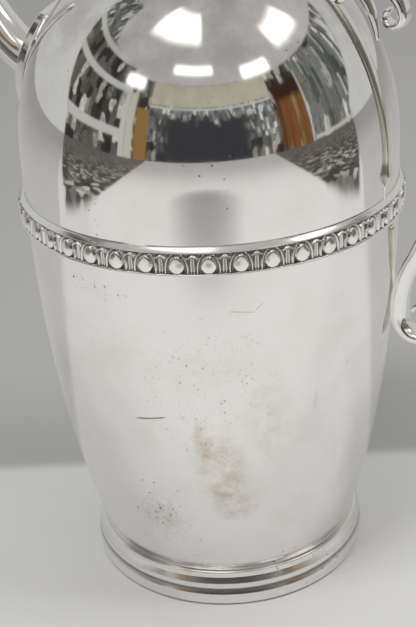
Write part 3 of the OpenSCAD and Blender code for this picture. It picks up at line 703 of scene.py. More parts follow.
def belt_relief(u, v):
    """Height of the belt's carving, from 0 in the ground to 1 on the highest part.

    u runs across one repeat in millimetres from the egg's middle, and v up the field in
    millimetres. The egg is half an ellipsoid, the arch is a ridge at a fixed distance from
    a pointed oval round it, and the dart is two stems under a cap shaped like an arrow head.
    """
    a, b, up = np.abs(u), PITCH / 2 - np.abs(u), v - EGG_UP
    tall = np.where(up < 0, 2.3, 3.15)
    wide = 2.2 - 0.1 * np.clip(up, 0, None)
    ball = np.clip(1 - (a / wide) ** 2 - (up / tall) ** 2, 0, None)
    ball = 0.72 * smooth(ball, 0.0, 0.2) + 0.28 * ball
    reach = 2.95 * np.clip(1 - (np.clip(v - 1.2, 0, None) / 4.7) ** 2.2, 0, None) ** 0.56
    arch = np.exp(-((a - reach) / 0.22) ** 4) * smooth(v, 5.75, 5.45)
    stem = np.exp(-((b - STEM_B) / 0.17) ** 2) * smooth(v, 4.6, 4.3)
    over, under = 5.55 - 1.0 * (b / 1.7) ** 1.4, 4.75 - 0.85 * (b / 1.7) ** 1.6
    cap = smooth(over - v, 0.0, 0.2) * smooth(v - under, 0.0, 0.2) * smooth(b, 1.75, 1.5)
    return np.maximum.reduce([ball, 0.8 * arch, 0.6 * stem, 0.95 * cap])


class POT_OT_belt(PotPiece, bpy.types.Operator):
    """Rolled belt: fillet, egg-and-dart field and sloping cap, as one displaced band"""

    bl_idname = "pot.belt"
    bl_label = "Belt"

    def execute(self, context):
        sizes = context.scene.pot_sizes
        count = sizes.motif_count
        steps = np.concatenate([HALF_STEPS, 1 - HALF_STEPS[:0:-1]])
        inner, field_low, field_top = BODY_R + CLEAR, BELT_LOW + 0.85, BELT_TOP - 1.75
        low = np.concatenate([[[inner, BELT_LOW + 0.02]],
                              arc(57.3, BELT_LOW + 0.42, 0.7, 0.4, -90, 80, 9),
                              [[GROUND_R, field_low]]])
        high = rounded([(GROUND_R, field_top), (57.85, field_top + 0.05, 0.3),
                        (56.5, BELT_TOP - 0.42, 1.0), (inner, BELT_TOP - 0.1)],
                       steps=6, closed=False)
        v = np.linspace(0, field_top - field_low, 34)[1:-1]
        field = np.stack([np.full(len(v), GROUND_R), field_low + v], axis=1)
        rows = np.concatenate([low, field, high])
        a = ((np.arange(count)[:, None] + steps) / count * TAU).ravel()
        u = np.tile((steps + 0.5) % 1 - 0.5, count)
        first, last = len(low), len(low) + len(v)
        relief = np.zeros((len(a), len(rows)))
        relief[:, first:last] = belt_relief(u[:, None] * PITCH, v[None])
        r = rows[:, 0] + relief * sizes.relief / MM
        grid = np.stack([r * np.cos(a)[:, None], r * np.sin(a)[:, None],
                         np.broadcast_to(rows[:, 1], r.shape)], axis=2)
        dark = np.zeros_like(relief)
        dark[:, first - 2:last + 2] = 1
        dark = dark * smooth(relief, 0.2, 0.0) * 0.9
        grid, dark = (np.concatenate([p, p[:, :1]], axis=1) for p in (grid, dark))
        make_piece("belt_egg_and_dart", [patch(grid, wrap_u=True)], "belt", "relief",
                   values=[dark])
        return {"FINISHED"}


# Local axes of the spout's root: up the plate, and out along the spout
ROOT = np.array([ROOT_X, 0, ROOT_Z])
ROOT_UP = np.array([math.sin(ROOT_TILT), 0, math.cos(ROOT_TILT)])
ROOT_OUT = np.array([-math.cos(ROOT_TILT), 0, math.sin(ROOT_TILT)])
LEAF_UP, LEAF_HALF_H, LEAF_HALF_W, EDGE_R = 9.0, 29.0, 20.0, 0.6
RIB_W, RIB_H, PLATE_T, CROWN_R = 3.5, 1.7, 2.3, 90.0
FLARE_H, FLARE_R, TUBE_R, BORE_R, OPENING_R = 9.0, 15.0, 6.4, 5.4, 11.0
SEAT_LIFT, SHELL_LIFT = 0.75, 0.03
TIP = np.array([-107.0, 213.0])


def shell_gap(up, across, lift=0.0):
    """How far out along the root's axis the shell lies, lifted, at each place on the plate."""
    out = np.zeros_like(up)
    for _ in range(24):
        x = ROOT[0] + up * ROOT_UP[0] + out * ROOT_OUT[0]
        z = ROOT[2] + up * ROOT_UP[2] + out * ROOT_OUT[2]
        drop = np.clip(z - DOME_Z, 0, None) / (DOME_H + lift)
        r = (BODY_R + lift) * np.sqrt(np.clip(1 - drop ** 2, 0.01, None))
        out = out + (np.sqrt(np.clip(r * r - across ** 2, 1, None)) + x) * 0.7
    return out


def leaf_reach(angle, half_w, grow):
    """Distance from the spout's axis to the leaf's outline in each direction: two wide arcs
    meet in a pointed oval, and a third rounds its top."""
    arc_r = (half_w ** 2 + LEAF_HALF_H ** 2) / (2 * half_w)
    c, s = np.cos(angle), np.abs(np.sin(angle))
    low, high = np.zeros_like(angle), np.full_like(angle, 60.0)
    for _ in range(40):
        m = (low + high) / 2
        inside = np.hypot(m * c - LEAF_UP, m * s + arc_r - half_w) < arc_r + grow
        inside &= m < LEAF_HALF_H + grow
        low, high = np.where(inside, m, low), np.where(inside, high, m)
    return low


class POT_OT_spout(PotPiece, bpy.types.Operator):
    """Spout: a leaf-shaped plate on the shell and a swan-neck tube swept along a curve"""

    bl_idname = "pot.spout"
    bl_label = "Spout"

    def execute(self, context):
        self.plate()
        self.tube()
        return {"FINISHED"}

    def plate(self):
        """Rings of points round the spout's axis, each a radius and a height for every
        direction: the hidden bore, the trumpet, the crowned face, its edge and the rib."""
        a = np.linspace(0, TAU, 288, endpoint=False)
        c, s = np.cos(a), np.sin(a)
        edge = leaf_reach(a, LEAF_HALF_W, 0.0)
        rows = []

        def crown(r):
            return PLATE_T - CROWN_R + np.sqrt(CROWN_R ** 2 - (r * c - LEAF_UP) ** 2)

        def shell(r, lift=0.0):
            return shell_gap(r * c, r * s, lift)

        def add(r, h):
            rows.append((np.broadcast_to(r, a.shape), np.broadcast_to(h, a.shape)))

        def flare(t):
            """Radius and height on the trumpet, from its foot at t = 0 to its top at t = 1."""
            r = TUBE_R + (FLARE_R - TUBE_R) * (1 - t) ** 2.2
            return r, crown(r) * (1 - t) + FLARE_H * t

        add(OPENING_R, shell(OPENING_R) + SHELL_LIFT)
        add(OPENING_R, 1.1)
        for t in np.linspace(0.12, 1, 10):
            r, h = flare(t)
            add(max(r - 1.3, BORE_R), h - 0.3 * (1 - t))
        for t in np.linspace(1, 0, 26):
            add(*flare(t))
        for t in np.linspace(0, 1, 10)[1:]:
            r = FLARE_R + (edge - EDGE_R - FLARE_R) * t
            add(r, crown(r) - 0.35 * np.exp(-((t - 0.86) / 0.05) ** 2))
        top = crown(edge)
        for bend in np.radians(np.linspace(15, 90, 6)):
            add(edge - EDGE_R + EDGE_R * math.sin(bend), top - EDGE_R * (1 - math.cos(bend)))
        wall_r = edge + 0.22 * (top - shell(edge + 1, 1.0))
        seat = shell(wall_r, SEAT_LIFT)
        for t in np.linspace(0, 1, 6)[1:]:
            add(edge + (wall_r - edge) * t, top - EDGE_R + (seat - top + EDGE_R) * t)
        rim = np.maximum(leaf_reach(a, LEAF_HALF_W + RIB_W, 0.6), wall_r + 0.3)
        for t in np.linspace(0, 1, 15)[1:]:
            r = wall_r + (rim - wall_r) * t
            lift = 0.05 + (RIB_H - 0.1) * math.sqrt(max(0.0, 1 - abs(2 * t - 1) ** 2.6))
            add(r, shell(r, max(lift, SEAT_LIFT * (1 - t / 0.1)) if t < 0.1 else lift))
        under = wall_r * 0.8
        add(under, shell(under) + SHELL_LIFT)
        rows.append(rows[0])
        r, h = (np.array(part) for part in zip(*rows))
        grid = (ROOT + (r * c)[..., None] * ROOT_UP + (r * s)[..., None] * np.array([0, 1.0, 0])
                + h[..., None] * ROOT_OUT)
        make_piece("spout_leaf_plate", [patch(grid, wrap_v=True)], "spout_base", "cast")

    def tube(self):
        """The tube's section is a circle square to the path, and it turns over at the lip."""
        out = ROOT_OUT[[0, 2]]
        start = np.array([ROOT_X, ROOT_Z]) + out * (FLARE_H + CLEAR)
        knee = np.array([-BODY_R - 31, (ROOT_Z + TIP[1]) / 2 - 1.5])
        first = bezier([start, start + out * 9, knee + [8, -12], knee], 60)
        second = bezier([knee, knee + [-7.5, 11.5], TIP + [9, -6.5], TIP], 60)
        path = even(np.concatenate([first, second[1:]]), 120)
        d, _ = in_plane(path)
        s = np.linspace(0, 1, len(path))
        radius = np.interp(s, [0, 0.1, 0.3, 0.6, 0.85, 0.95, 1],
                           [TUBE_R, TUBE_R, 6.2, 5.45, 5.05, 5.15, 5.6])
        turn_back = np.radians(28) * np.clip((s - 0.78) / 0.22, 0, 1) ** 2
        head = np.arctan2(d[:, 1], d[:, 0]) - turn_back
        a = np.linspace(0, TAU, 64, endpoint=False)

        def ring(k, drop, shift=0.0):
            """Circles at those points of the path, smaller by drop and moved ahead by shift."""
            q = (radius[k] - drop)[:, None] * np.cos(a)
            w = (radius[k] - drop)[:, None] * np.sin(a)
            c, s = np.cos(head[k])[:, None], np.sin(head[k])[:, None]
            return np.stack([path[k, 0, None] - s * q + shift * c, w,
                             path[k, 1, None] + c * q + shift * s], axis=2)

        everything = np.arange(len(path))
        lip = [ring(everything[-1:], 0.5 - 0.5 * math.cos(t), 0.5 * math.sin(t))
               for t in np.radians([30, 60, 90, 120, 150])]
        grid = np.concatenate([ring(everything, 0.0)] + lip + [ring(everything[::-1], 1.0)])
        grid = np.concatenate([grid, grid[:1]])
        make_piece("spout_tube", [patch(grid, wrap_v=True)], "spout", "cast")


class POT_OT_handle(PotPiece, bpy.types.Operator):
    """Handle: bars swept along curves in one plane, with turned sockets and fibre discs"""

    bl_idname = "pot.handle"
    bl_label = "Handle"

    def execute(self, context):
        self.strap()
        self.upper_scroll()
        self.grip(context.scene.pot_sizes.grip_width / MM / 2)
        self.lower_scroll()
        self.strut()
        self.joints()
        # Kept out of mirror images, which would double the handle's lines in the shells
        for obj in bpy.data.objects:
            if obj.name.startswith("handle_"):
                obj.visible_glossy = False
        return {"FINISHED"}

    def strap(self):
        """Strap on the dome, which ends in a rounded hoof above the belt."""
        lift = 1.15
        over = arc(0, DOME_Z, BODY_R + lift, DOME_H + lift, 0, 50, 31)
        tail = [BODY_R, BELT_TOP] + np.array([[0.55, 0.3], [0.6, 3.0], [0.9, 4.6], [1.1, 6.0]])
        rise = np.linspace(BELT_TOP + 8, DOME_Z, 4)[:-1]
        up = np.stack([np.full(3, BODY_R + lift), rise], axis=1)
        path = even(np.concatenate([tail, up, over]), 90)
        s = np.linspace(0, 1, len(path))
        half_t = np.interp(s, [0, 0.06, 0.08, 0.105, 0.16, 1], [0.45, 0.55, 1.2, 1.5, 1.0, 1.1])
        half_w = np.interp(s, [0, 0.06, 0.08, 0.11, 0.17, 1], [0.8, 0.9, 1.9, 2.4, 1.6, 2.5])
        strap = bar(path, half_t, half_w, 28, 2.4)
        # Painted shade: the strap is darkened along its edges, where it lies against the shell.
        make_piece("handle_strap", [strap], "back_strap", "worn",
                   values=[0.45 * smooth(np.abs(strap[0][:, 1]), 1.2, 1.6)])

    def upper_scroll(self):
        """A lobe that curls over the dome, a leaf under it and a stem to the upper joint."""
        foot = on_dome(46, 3.8)
        curl_x, curl_z = BODY_R + 2.6, DOME_Z + 0.8 * (NECK_Z - DOME_Z)
        curl = spiral(curl_x, curl_z, 30, -264, 3.5, 1.6, 40)
        sweep = bezier([foot, foot + [4, 6], [curl_x + 0.5, curl_z + 10], curl[0]], 30)
        lobe = even(np.concatenate([sweep[:-1], curl]), 90)
        leaf = bezier([foot + [1.5, -2.2], foot + [6, 4], [BODY_R - 3, curl_z + 4],
                       [BODY_R - 1.8, curl_z - 6.5]], 60)
        stem = bezier([foot + [6, 2], *(along(UPPER_JOINT, -back) for back in (5, 2, 1))], 24)
        stem = np.concatenate([stem, [along(UPPER_JOINT, -CLEAR)]])
        make_piece("handle_upper_scroll", [
            bar(lobe, [1.7, 1.9, 1.9, 1.7, 1.5, 1.1, 0.8], [2, 3, 3.2, 3.2, 3, 2.6, 2], 28, 2.6),
            bar(leaf, [2, 1.4, 1.3, 1.2, 0.7], [2, 2.4, 2.4, 2, 0.9], 24, 2.2),
            bar(stem, [2.2, 2.8, 3.2], [2.6, 3.2, 3.4], 28, caps=(1.0, 0.02)),
        ], "upper_scroll", "cast")

    def grip(self, half):
        """The curve between the two joints, in line with their axes at its ends."""
        joints = UPPER_JOINT, LOWER_JOINT
        top, low = (along(joint, JOINT_L + CLEAR) for joint in joints)
        outer = np.array([107.85, (top[1] + low[1]) / 2 + 4])
        up_dir, low_dir = (along(joint, 1) - along(joint, 0) for joint in joints)
        path = np.concatenate([
            [low], bezier([low + low_dir, low + 12 * low_dir, outer - [0, 22], outer], 70)[:-1],
            bezier([outer, outer + [0, 26], top + 22 * up_dir, top + up_dir], 80), [top]])
        wide = [3.5, 0.9 * half, half, half, half, 0.9 * half, 3.5]
        make_piece("handle_grip", [bar(even(path, 160), [3.5, 3.9, 4, 4, 4, 3.9, 3.5], wide, 48,
                                       caps=(0.02, 0.02))], "grip", "cast")

    def lower_scroll(self):
        """An arm down from the lower joint, which ends in a flattened curl."""
        curl = spiral(BODY_R + 12.5, BELT_LOW - 26.3, 165, 336, 7, 3.2, 70, tall=1.1)
        end = curl[0]
        arm = bezier([along(LOWER_JOINT, -1), along(LOWER_JOINT, -9), end + [0, 9], end], 40)
        path = even(np.concatenate([[along(LOWER_JOINT, -CLEAR)], arm[:-1], curl]), 130)
        make_piece("handle_lower_scroll", [bar(path, [3.4, 2.5, 2.4, 2.4, 2.2, 1.9, 1.4, 0.8],
                                               [3.4, 3, 3.2, 3.6, 3.6, 3.2, 2.6, 1.8], 40, 2.5,
                                               caps=(0.02, 1.0))], "lower_scroll", "cast")

    def strut(self):
        """Slim rod from the belt down to the shell, with a round bead beside it."""
        edge, tip_z = BODY_R + 2, BELT_LOW - 36
        top, low = np.array([edge + 0.9, BELT_LOW - 0.1]), np.array([edge + 1.4, BELT_LOW - 18])
        tip = np.array([float(lower_r(tip_z)) + 2.0, tip_z + 0.4])
        path = even(np.concatenate([bezier([top, top - [0, 6], low + [0, 6], low], 24)[:-1],
                                    bezier([low, low - [0, 5], tip + [2, 8], tip], 36)]), 80)
        bead, faces = turn(arc(0, 0, 1.3, 1.3, -90, 90, 19), 32)
        bead = bead + [edge + 2.6, 0, BELT_LOW - 19.6]
        rod = bar(path, [0.9, 0.8, 0.7, 0.7, 0.7, 0.35], [1.6, 1.4, 1.1, 2.2, 2.4, 0.6], 24)
        # Painted shade: the rod is darkened along its sides; the bead is left clean.
        make_piece("handle_strut", [rod, (bead, faces)], "strut", "worn",
                   values=[0.6 * smooth(np.abs(rod[0][:, 1]), 0.75, 1.15), np.zeros(len(bead))])

    def joints(self):
        """Two cups and a fibre disc turned round each joint's axis, and their cross pins."""
        bore, low, high = TENON_R + CLEAR, SOCKET_L + CLEAR, SOCKET_L + DISC_T - CLEAR
        cup = rounded([(0, 0), (SOCKET_R * 0.78, 0, 0.3), (SOCKET_R * 0.86, SOCKET_L * 0.6, 0.6),
                       (SOCKET_R, SOCKET_L * 0.72, 0.5), (SOCKET_R, SOCKET_L, 0.35),
                       (bore, SOCKET_L, 0.15), (bore, 0.8), (0, 0.8)], closed=False)
        mirror = cup * [1, -1] + [0, JOINT_L]
        disc = rounded([(0, 1.1), (TENON_R, 1.1, 0.2), (TENON_R, low), (DISC_R, low, 0.5),
                        (DISC_R, high, 0.5), (TENON_R, high), (TENON_R, JOINT_L - 1.1, 0.2),
                        (0, JOINT_L - 1.1)], closed=False)
        pin = rounded([(0, -4.3), (0.8, -4.3, 0.35), (0.8, 4.3, 0.35), (0, 4.3)], closed=False)
        pins = []
        for word, joint in (("upper", UPPER_JOINT), ("lower", LOWER_JOINT)):
            cups = [place(turn(p, 96), joint) for p in (cup, mirror)]
            make_piece(f"handle_{word}_sockets", cups, f"{word}_sockets", "cast")
            make_piece(f"handle_{word}_disc", [place(turn(disc, 96), joint)],
                       f"{word}_insulator", "fibre")
            origin, ax, ay, az = joint_frame(joint)
            for z in (SOCKET_L / 2, JOINT_L - SOCKET_L / 2):
                v, f = turn(pin, 32)
                pins.append((origin + az * z + v[:, :1] * ax + v[:, 1:2] * az + v[:, 2:] * ay, f))
        make_piece("handle_pins", pins, "cross_pins", "cast")


class POT_OT_lid(PotPiece, bpy.types.Operator):
    """Lid: rim and dome in one revolved profile, with its bezel and a steam hole"""

    bl_idname = "pot.lid"
    bl_label = "Lid"

    def execute(self, context):
        inner = LID_DOME_R - WALL
        dome = arc(0, LID_DOME_Z, LID_DOME_R, LID_DOME_H, 0, angle_at(LID_TOP_R, LID_DOME_R), 48)
        inside = arc(0, LID_DOME_Z, inner, LID_DOME_H - WALL, 0, angle_at(LID_TOP_R, inner), 40)
        rim = rounded([(inner, LID_Z), (LID_R, LID_Z, 0.5), (LID_R, LID_Z + 1.2, 0.45),
                       (LID_DOME_R + 0.6, LID_Z + 1.2, 0.3), (LID_DOME_R + 0.01, LID_DOME_Z)],
                      closed=False)
        hole = [[STEAM_HOLE_R, LID_TOP_Z], [STEAM_HOLE_R, LID_TOP_Z - WALL]]
        make_piece("lid_dome", [turn_closed(np.concatenate([rim[:-1], dome, hole, inside[::-1]]))],
                   "lid", "shell", "lid")
        r, top = 29.35, LID_DOME_Z - 0.2
        bezel = rounded([(r - 1, LID_Z - 4), (r - 0.4, LID_Z - 4, 0.2), (r, LID_Z - 3.2, 0.3),
                         (r, top, 0.1), (r - 1, top, 0.1)])
        make_piece("lid_bezel_ring", [turn_closed(bezel, 192)], "lid_bezel", "cast", "lid")
        return {"FINISHED"}


class POT_OT_finial(PotPiece, bpy.types.Operator):
    """Finial: turned plate, fibre washer and knob, with the stud and nut under the lid"""

    bl_idname = "pot.finial"
    bl_label = "Finial"

    def execute(self, context):
        base, plate_r = LID_TOP_Z + CLEAR, 8.7
        reach, rise = LID_DOME_R + CLEAR, LID_DOME_H + CLEAR
        skirt = LID_DOME_Z + rise * math.sqrt(1 - (plate_r / reach) ** 2)
        under = arc(0, LID_DOME_Z, reach, rise, 80, 74, 6)
        under = under[(under[:, 0] > 5.6) & (under[:, 0] < 8.6)]
        slope = np.array([[7.9, 0.95], [6.9, 1.1], [6.0, 1.4], [5.3, 1.85], [4.8, 2.4]])
        plate = np.concatenate([
            [[STEAM_HOLE_R, base + 2.4], [STEAM_HOLE_R, base], [LID_TOP_R, base]], under,
            [[plate_r, skirt]], arc(plate_r, base - 0.1, 0.8, 0.9, -90, 90, 13),
            slope + [0, base]])
        make_piece("finial_base", [turn_closed(plate, 128)], "finial_plate", "cast", "lid")
        low = base + 2.45
        washer = np.concatenate([[[STEAM_HOLE_R, low]], arc(4.4, low + 0.8, 0.7, 0.8, -90, 90, 11),
                                 [[STEAM_HOLE_R, low + 1.6]]])
        make_piece("finial_disc", [turn_closed(washer, 96)], "finial_washer", "fibre", "lid")
        low += 1.65
        knob_r = context.scene.pot_sizes.knob_radius / MM
        t = np.linspace(0, 1, 40)
        swell = 2.4 + (knob_r - 1.9) * np.sin(math.pi * t ** 0.8) - 1.1 * t
        knob = np.stack([swell, low + 6 + 15.8 * t], axis=1)
        stem = rounded([(2.0, low), (3.6, low, 0.1), (4.3, low + 0.8, 0.6), (3.5, low + 1.7, 0.4),
                        (2.6, low + 2.6, 0.8), (2.2, low + 4.2, 0.8), (2.4, low + 6)],
                       closed=False)
        tip = arc(0, low + 23.4, 2.2, 1.6, -50, 90, 18)
        stud = [[0, LID_TOP_Z - 4.8], [1.7, LID_TOP_Z - 4.8], [2.0, LID_TOP_Z - 4.5]]
        make_piece("finial_knob", [turn(np.concatenate([stud, stem[:-1], knob, tip]), 128)],
                   "finial", "cast", "lid")
        dress(["finial_nut"], "cast")
        return {"FINISHED"}


class POT_OT_hinge(PotPiece, bpy.types.Operator):
    """Hinge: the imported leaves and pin, with a finish"""

    bl_idname = "pot.hinge"
    bl_label = "Hinge"

    def execute(self, context):
        dress(("body_hinge_leaf", "lid_hinge_leaf", "hinge_pin"), "cast")
        return {"FINISHED"}


# Horizontal directions towards the camera and to its right
SWING = 32.0
TOWARDS = (math.sin(math.radians(SWING)), -math.cos(math.radians(SWING)), 0.0)
RIGHT = (math.cos(math.radians(SWING)), math.sin(math.radians(SWING)), 0.0)

FLOOR_SIZE = 16000.0
TABLE_EDGE = 0.04  # metres behind the pot at which the table meets the grey ground
GOODS_ON_TABLE = ((0.0, (0.03, 0.03, 0.03)), (0.5, (0.09, 0.08, 0.07)), (0.75, (0.3, 0.29, 0.27)),
                  (0.95, (0.7, 0.69, 0.66)))
DIM = ((0.0, (0.015, 0.015, 0.016)), (0.4, (0.05, 0.047, 0.042)), (0.55, (0.16, 0.14, 0.11)),
       (0.68, (0.07, 0.085, 0.085)), (0.82, (0.36, 0.34, 0.30)), (0.95, (0.8, 0.78, 0.72)))
GLASS = ((0.0, (0.03, 0.035, 0.035)), (0.35, (0.12, 0.13, 0.125)), (0.5, (0.22, 0.23, 0.22)),
         (0.62, (0.10, 0.09, 0.06)), (0.8, (0.42, 0.43, 0.42)), (0.95, (0.85, 0.84, 0.8)))
WOOD = ((0.0, (0.04, 0.018, 0.012)), (0.4, (0.20, 0.09, 0.03)), (0.55, (0.10, 0.035, 0.018)),
        (0.75, (0.40, 0.30, 0.14)), (0.9, (0.5, 0.47, 0.38)))
SHELF = (0.5, 0.5, 0.48)
LAMP_GLOW, LAMP_FACE = (0.9, 0.88, 0.83), (2.4, 2.35, 2.25)

# Ceiling lights that the silver reflects: two azimuths, two heights and the softness of edges
LIGHTS = ((-58, -44, 33, 38, 4), (-25, 5, 44, 48, 4), (27, 49, 39, 45, 4),
          (-64, -4, 61, 77, 8), (64, 95, 46, 57, 8))
# Soft lamps: name, azimuth, height in degrees and watts
LAMPS = (("lamp_left", -40, 66, 4.15), ("lamp_right", 76, 56, 3.0))
LAMP_SIZE, LAMP_REACH, LAMP_AIM_Z = (0.36, 0.24), 1.1, 0.12

# Camera: yaw, pitch and roll in degrees, place before the swing, and focal length in pixels
# of a picture so many high
CAMERA_TURN, CAMERA_PLACE = (-0.53, 26.45, -3.35), (0, -0.3705, 0.2648)
FOCAL, PICTURE_H, SENSOR = 1306, 627, 36.0


class POT_OT_stage(PotPiece, bpy.types.Operator):
    """Stage: a pale floor, a room that the silver reflects, two soft lamps and the camera"""

    bl_idname = "pot.stage"
    bl_label = "Stage"

    def execute(self, context):
        self.floor()
        self.room(context.scene)
        self.lamps()
        self.camera(context.scene)
        context.scene.view_settings.view_transform = "Standard"
        return {"FINISHED"}

    def floor(self):
        """One wide face. Its colour goes by the distance ahead and to the side: a pale table
            in front with painted shade close to the pot, grey behind, and for the silver alone a
            painted shadow and goods to either side."""
        s = FLOOR_SIZE
        corners = [[[-s, -s, 0], [-s, s, 0]], [[s, -s, 0], [s, s, 0]]]
        obj = add_object("floor", make_mesh("floor", [patch(corners)], closed=False))
        material = bpy.data.materials.new("pale_table")
        t = Tree(material)
        place = t.place()
        ahead, side = t.dot(place, TOWARDS), t.dot(place, RIGHT)
        aside = abs(side)
        glossy = t.node("ShaderNodeLightPath", output="Is Glossy Ray")
        back = (ahead - side * 0.02).ease(0.004 - TABLE_EDGE, -0.004 - TABLE_EDGE)
        speck = t.noise(place, 900.0, 2.0).ease(0.2, 0.8) * 0.5 + t.noise(place, 60.0, 4.0) * 0.5
        # Painted shade: the table is darker close to the pot and lighter further ahead, and, in the
        # silver only, to either side.
        near = t.mix(speck, (0.63, 0.633, 0.636), (0.69, 0.693, 0.696))
        bright = ahead.ease(0.05, 0.13).at_least(aside.ease(0.08, 0.16) * glossy * 0.6)
        white = t.mix(bright, near, (0.79, 0.79, 0.785))
        across, deep = (side + 0.03) / 0.11, (ahead - 0.45) / 0.14
        shade = (across * across + deep * deep).ease(2.4, -0.4)
        white = t.mix(shade * glossy, white, (0.34, 0.34, 0.345))
        pale = t.mix(back, white, t.mix(glossy, (0.41, 0.41, 0.411), (0.55, 0.55, 0.55)))
        edge = aside - ahead.at_least(0.167) * 0.73 - 0.245
        far = edge.ease(0.0, 0.03) * (ahead + aside * 0.05).ease(0.0, 0.02)
        pick = t.boxes(place, 26.0) * 0.8 + t.noise(place, 60.0, 3.0) * 0.4 - 0.1
        colour = t.mix(far * glossy, pale, t.ramp(pick, GOODS_ON_TABLE))
        t.surface({"Base Color": colour, "Roughness": 0.6, "Specular IOR Level": 0.2})
        obj.data.materials.append(material)

    def room(self, scene):
        """The world, painted by azimuth and height in degrees as seen from the pot, azimuth
        from the camera's direction to its right. The camera itself sees plain grey."""
        world = bpy.data.worlds.new("room")
        scene.world = world
        t = Tree(world)
        ray = t.node("ShaderNodeTexCoord", output="Generated")
        degrees = 180 / math.pi
        azimuth = t.dot(ray, RIGHT).math("ARCTAN2", t.dot(ray, TOWARDS)) * degrees
        height = t.dot(ray, (0, 0, 1)).math("ARCSINE") * degrees
        # The room's two edges lean outwards above the eye
        lean_left = azimuth.ease(-55, -93) * (height - 8).at_least(0.0) * 0.62
        lean_right = azimuth.ease(63, 92) * (height - 5).at_least(0.0) * 0.85
        bent = azimuth + lean_left - lean_right
        wall = t.mix(abs(bent).ease(95, 91), (0.57, 0.57, 0.56), (0.47, 0.45, 0.45))

        def hang(picture, panels, turned=bent):
            """Paints upright panels in order: two azimuths, two heights, soft edge, colour."""
            for low, high, bottom, top, soft, colour in panels:
                mask = turned.between(low, high, soft) * height.between(bottom, top, soft)
                picture = t.mix(mask, picture, colour)
            return picture

        def goods(across, high, stops):
            """Rows of small upright things: cells of about that width and height in degrees."""
            spread = t.node("ShaderNodeCombineXYZ", None,
                            {"X": azimuth / across, "Y": height / high})
            sheen = t.noise(spread, 3.0, 4.0, 0.7)
            return t.ramp(t.boxes(spread, 1.0, 0.7) * 0.75 + sheen * 0.5 - 0.12, stops)

        cream = t.mix(t.noise(ray, 9.0, 2.0), (0.36, 0.33, 0.25), (0.52, 0.49, 0.40))
        room = hang(wall, (
            (-93, 92, -30, 38, 1.5, goods(2.4, 5.0, DIM)),    # far shelves
            (-93, -53, -30, 41, 1.5, goods(3.4, 6.0, DIM)),   # shelves on the left
            (-93, -64, 42, 62, 3.0, goods(2.2, 3.0, GLASS)),  # glass on top of them
            (63, 92, -30, 37, 1.5, goods(2.2, 9.0, GLASS)),   # glass case on the right
            (-37, 41, 12, 38, 1.0, cream),                    # far wall
            (-37, 41, 9, 27, 1.0, goods(1.5, 3.0, GLASS)),    # low case before it
            (-37, 41, 25.5, 26.5, 0.8, SHELF),
        ))
        # A dark uneven mass straight ahead
        uneven = t.noise(ray, 7.0, 4.0, 0.6) * 26 - 13
        mass = azimuth.between(-30, 26, 16.0) * (height + uneven).ease(23, 20)
        room = t.mix(mass, room, (0.042, 0.042, 0.047))
        room = hang(room, (
            (-51, -46, -12, 30, 1.5, (0.50, 0.48, 0.41)),     # post
            (-45, -37, -12, 24, 1.5, (0.26, 0.15, 0.055)),    # door
            (43, 62, -12, 24, 1.5, goods(2.6, 40.0, WOOD)),   # wooden cabinet and its cornice
            (42, 63, 23, 31, 4.0, (0.045, 0.022, 0.015)),
            (-93, -53, 8, 12, 1.0, SHELF), (-93, -53, 29, 32, 1.0, SHELF),
            (-54.5, -51, -20, 41, 1.0, SHELF), (-93, -60, 41, 43.5, 1.0, SHELF),
            (64, 92, 0, 1.6, 1.0, SHELF), (62, 63.2, -20, 33, 1.0, SHELF),
        ))
        for low, high, bottom, top, soft in LIGHTS:
            glow = azimuth.between(low, high, 5 * soft) * height.between(bottom, top, 3.2 * soft)
            room = t.mix(glow * 0.45, room, LAMP_GLOW)
            room = hang(room, [(low, high, bottom, top, soft, LAMP_FACE)], azimuth)
        camera = t.node("ShaderNodeLightPath", output="Is Camera Ray")
        colour = t.mix(camera, room, (0.42, 0.42, 0.43))
        background = t.node("ShaderNodeBackground", None, {"Color": colour, "Strength": 1.0})
        t.node("ShaderNodeOutputWorld", None, {"Surface": background})

    def lamps(self):
        """Area lamps that face a point inside the pot, kept out of the silver."""
        for name, azimuth, height, watts in LAMPS:
            a, e = math.radians(azimuth), math.radians(height)
            flat = np.array(TOWARDS) * math.cos(a) + np.array(RIGHT) * math.sin(a)
            z = flat * math.cos(e) + [0, 0, math.sin(e)]
            x = np.cross([0, 0, 1], z)
            x /= np.linalg.norm(x)
            data = bpy.data.lights.new(name, "AREA")
            data.shape, data.energy = "RECTANGLE", watts
            data.size, data.size_y = LAMP_SIZE
            lamp = add_object(name, data)
            lamp.visible_glossy = False
            turned = Matrix(np.array([x, np.cross(z, x), z]).T).to_4x4()
            lamp.matrix_world = Matrix.Translation(z * LAMP_REACH + [0, 0, LAMP_AIM_Z]) @ turned

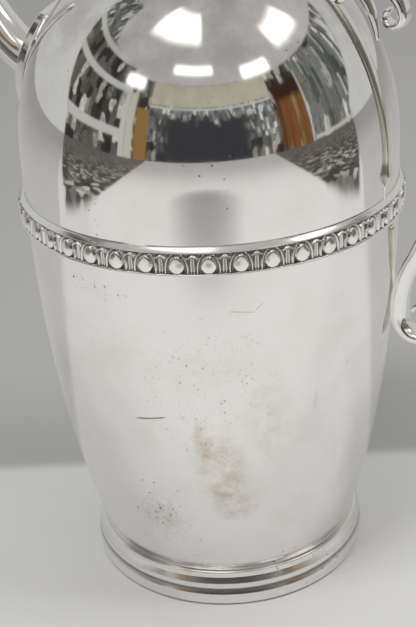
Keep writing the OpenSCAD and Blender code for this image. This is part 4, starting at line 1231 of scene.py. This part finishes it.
    def camera(self, scene):
        """Camera at the distance and height of a hand-held view, with its own slight roll."""
        yaw, pitch, roll = (math.radians(v) for v in CAMERA_TURN)
        forward = np.array([math.sin(yaw) * math.cos(pitch), math.cos(yaw) * math.cos(pitch),
                            -math.sin(pitch)])
        right = np.array([math.cos(yaw), -math.sin(yaw), 0])
        up = np.cross(right, forward)
        right, up = (right * math.cos(roll) + up * math.sin(roll),
                     up * math.cos(roll) - right * math.sin(roll))
        axes = Matrix(np.array([right, up, -forward]).T).to_4x4()
        data = bpy.data.cameras.new("camera")
        data.sensor_width = SENSOR
        data.lens = FOCAL * SENSOR / PICTURE_H
        data.clip_start = 0.01
        scene.camera = add_object("camera", data)
        scene.camera.matrix_world = (Matrix.Rotation(math.radians(SWING), 4, "Z")
                                     @ Matrix.Translation(CAMERA_PLACE) @ axes)


class POT_PT_panel(bpy.types.Panel):
    """Lists the pot's values and the operators that build it"""

    bl_idname = "POT_PT_panel"
    bl_label = "Coffee Pot"
    bl_space_type = "VIEW_3D"
    bl_region_type = "UI"
    bl_category = "Coffee Pot"

    def draw(self, context):
        for group in (context.scene.pot_sizes, context.scene.pot_colours):
            for key in group.__annotations__:
                self.layout.prop(group, key)
        for operator in OPERATORS:
            self.layout.operator(operator.bl_idname)


OPERATORS = (POT_OT_foot, POT_OT_shells, POT_OT_belt, POT_OT_spout, POT_OT_handle, POT_OT_lid,
             POT_OT_finial, POT_OT_hinge, POT_OT_stage)
CLASSES = (PotSizes, PotColours, *OPERATORS, POT_PT_panel)


def register():
    for cls in CLASSES:
        bpy.utils.register_class(cls)
    bpy.types.Scene.pot_sizes = bpy.props.PointerProperty(type=PotSizes)
    bpy.types.Scene.pot_colours = bpy.props.PointerProperty(type=PotColours)


def unregister():
    del bpy.types.Scene.pot_sizes
    del bpy.types.Scene.pot_colours
    for cls in reversed(CLASSES):
        bpy.utils.unregister_class(cls)


def main():
    register()
    for operator in OPERATORS:
        group, name = operator.bl_idname.split(".")
        getattr(getattr(bpy.ops, group), name)()


if __name__ == "__main__":
    main()
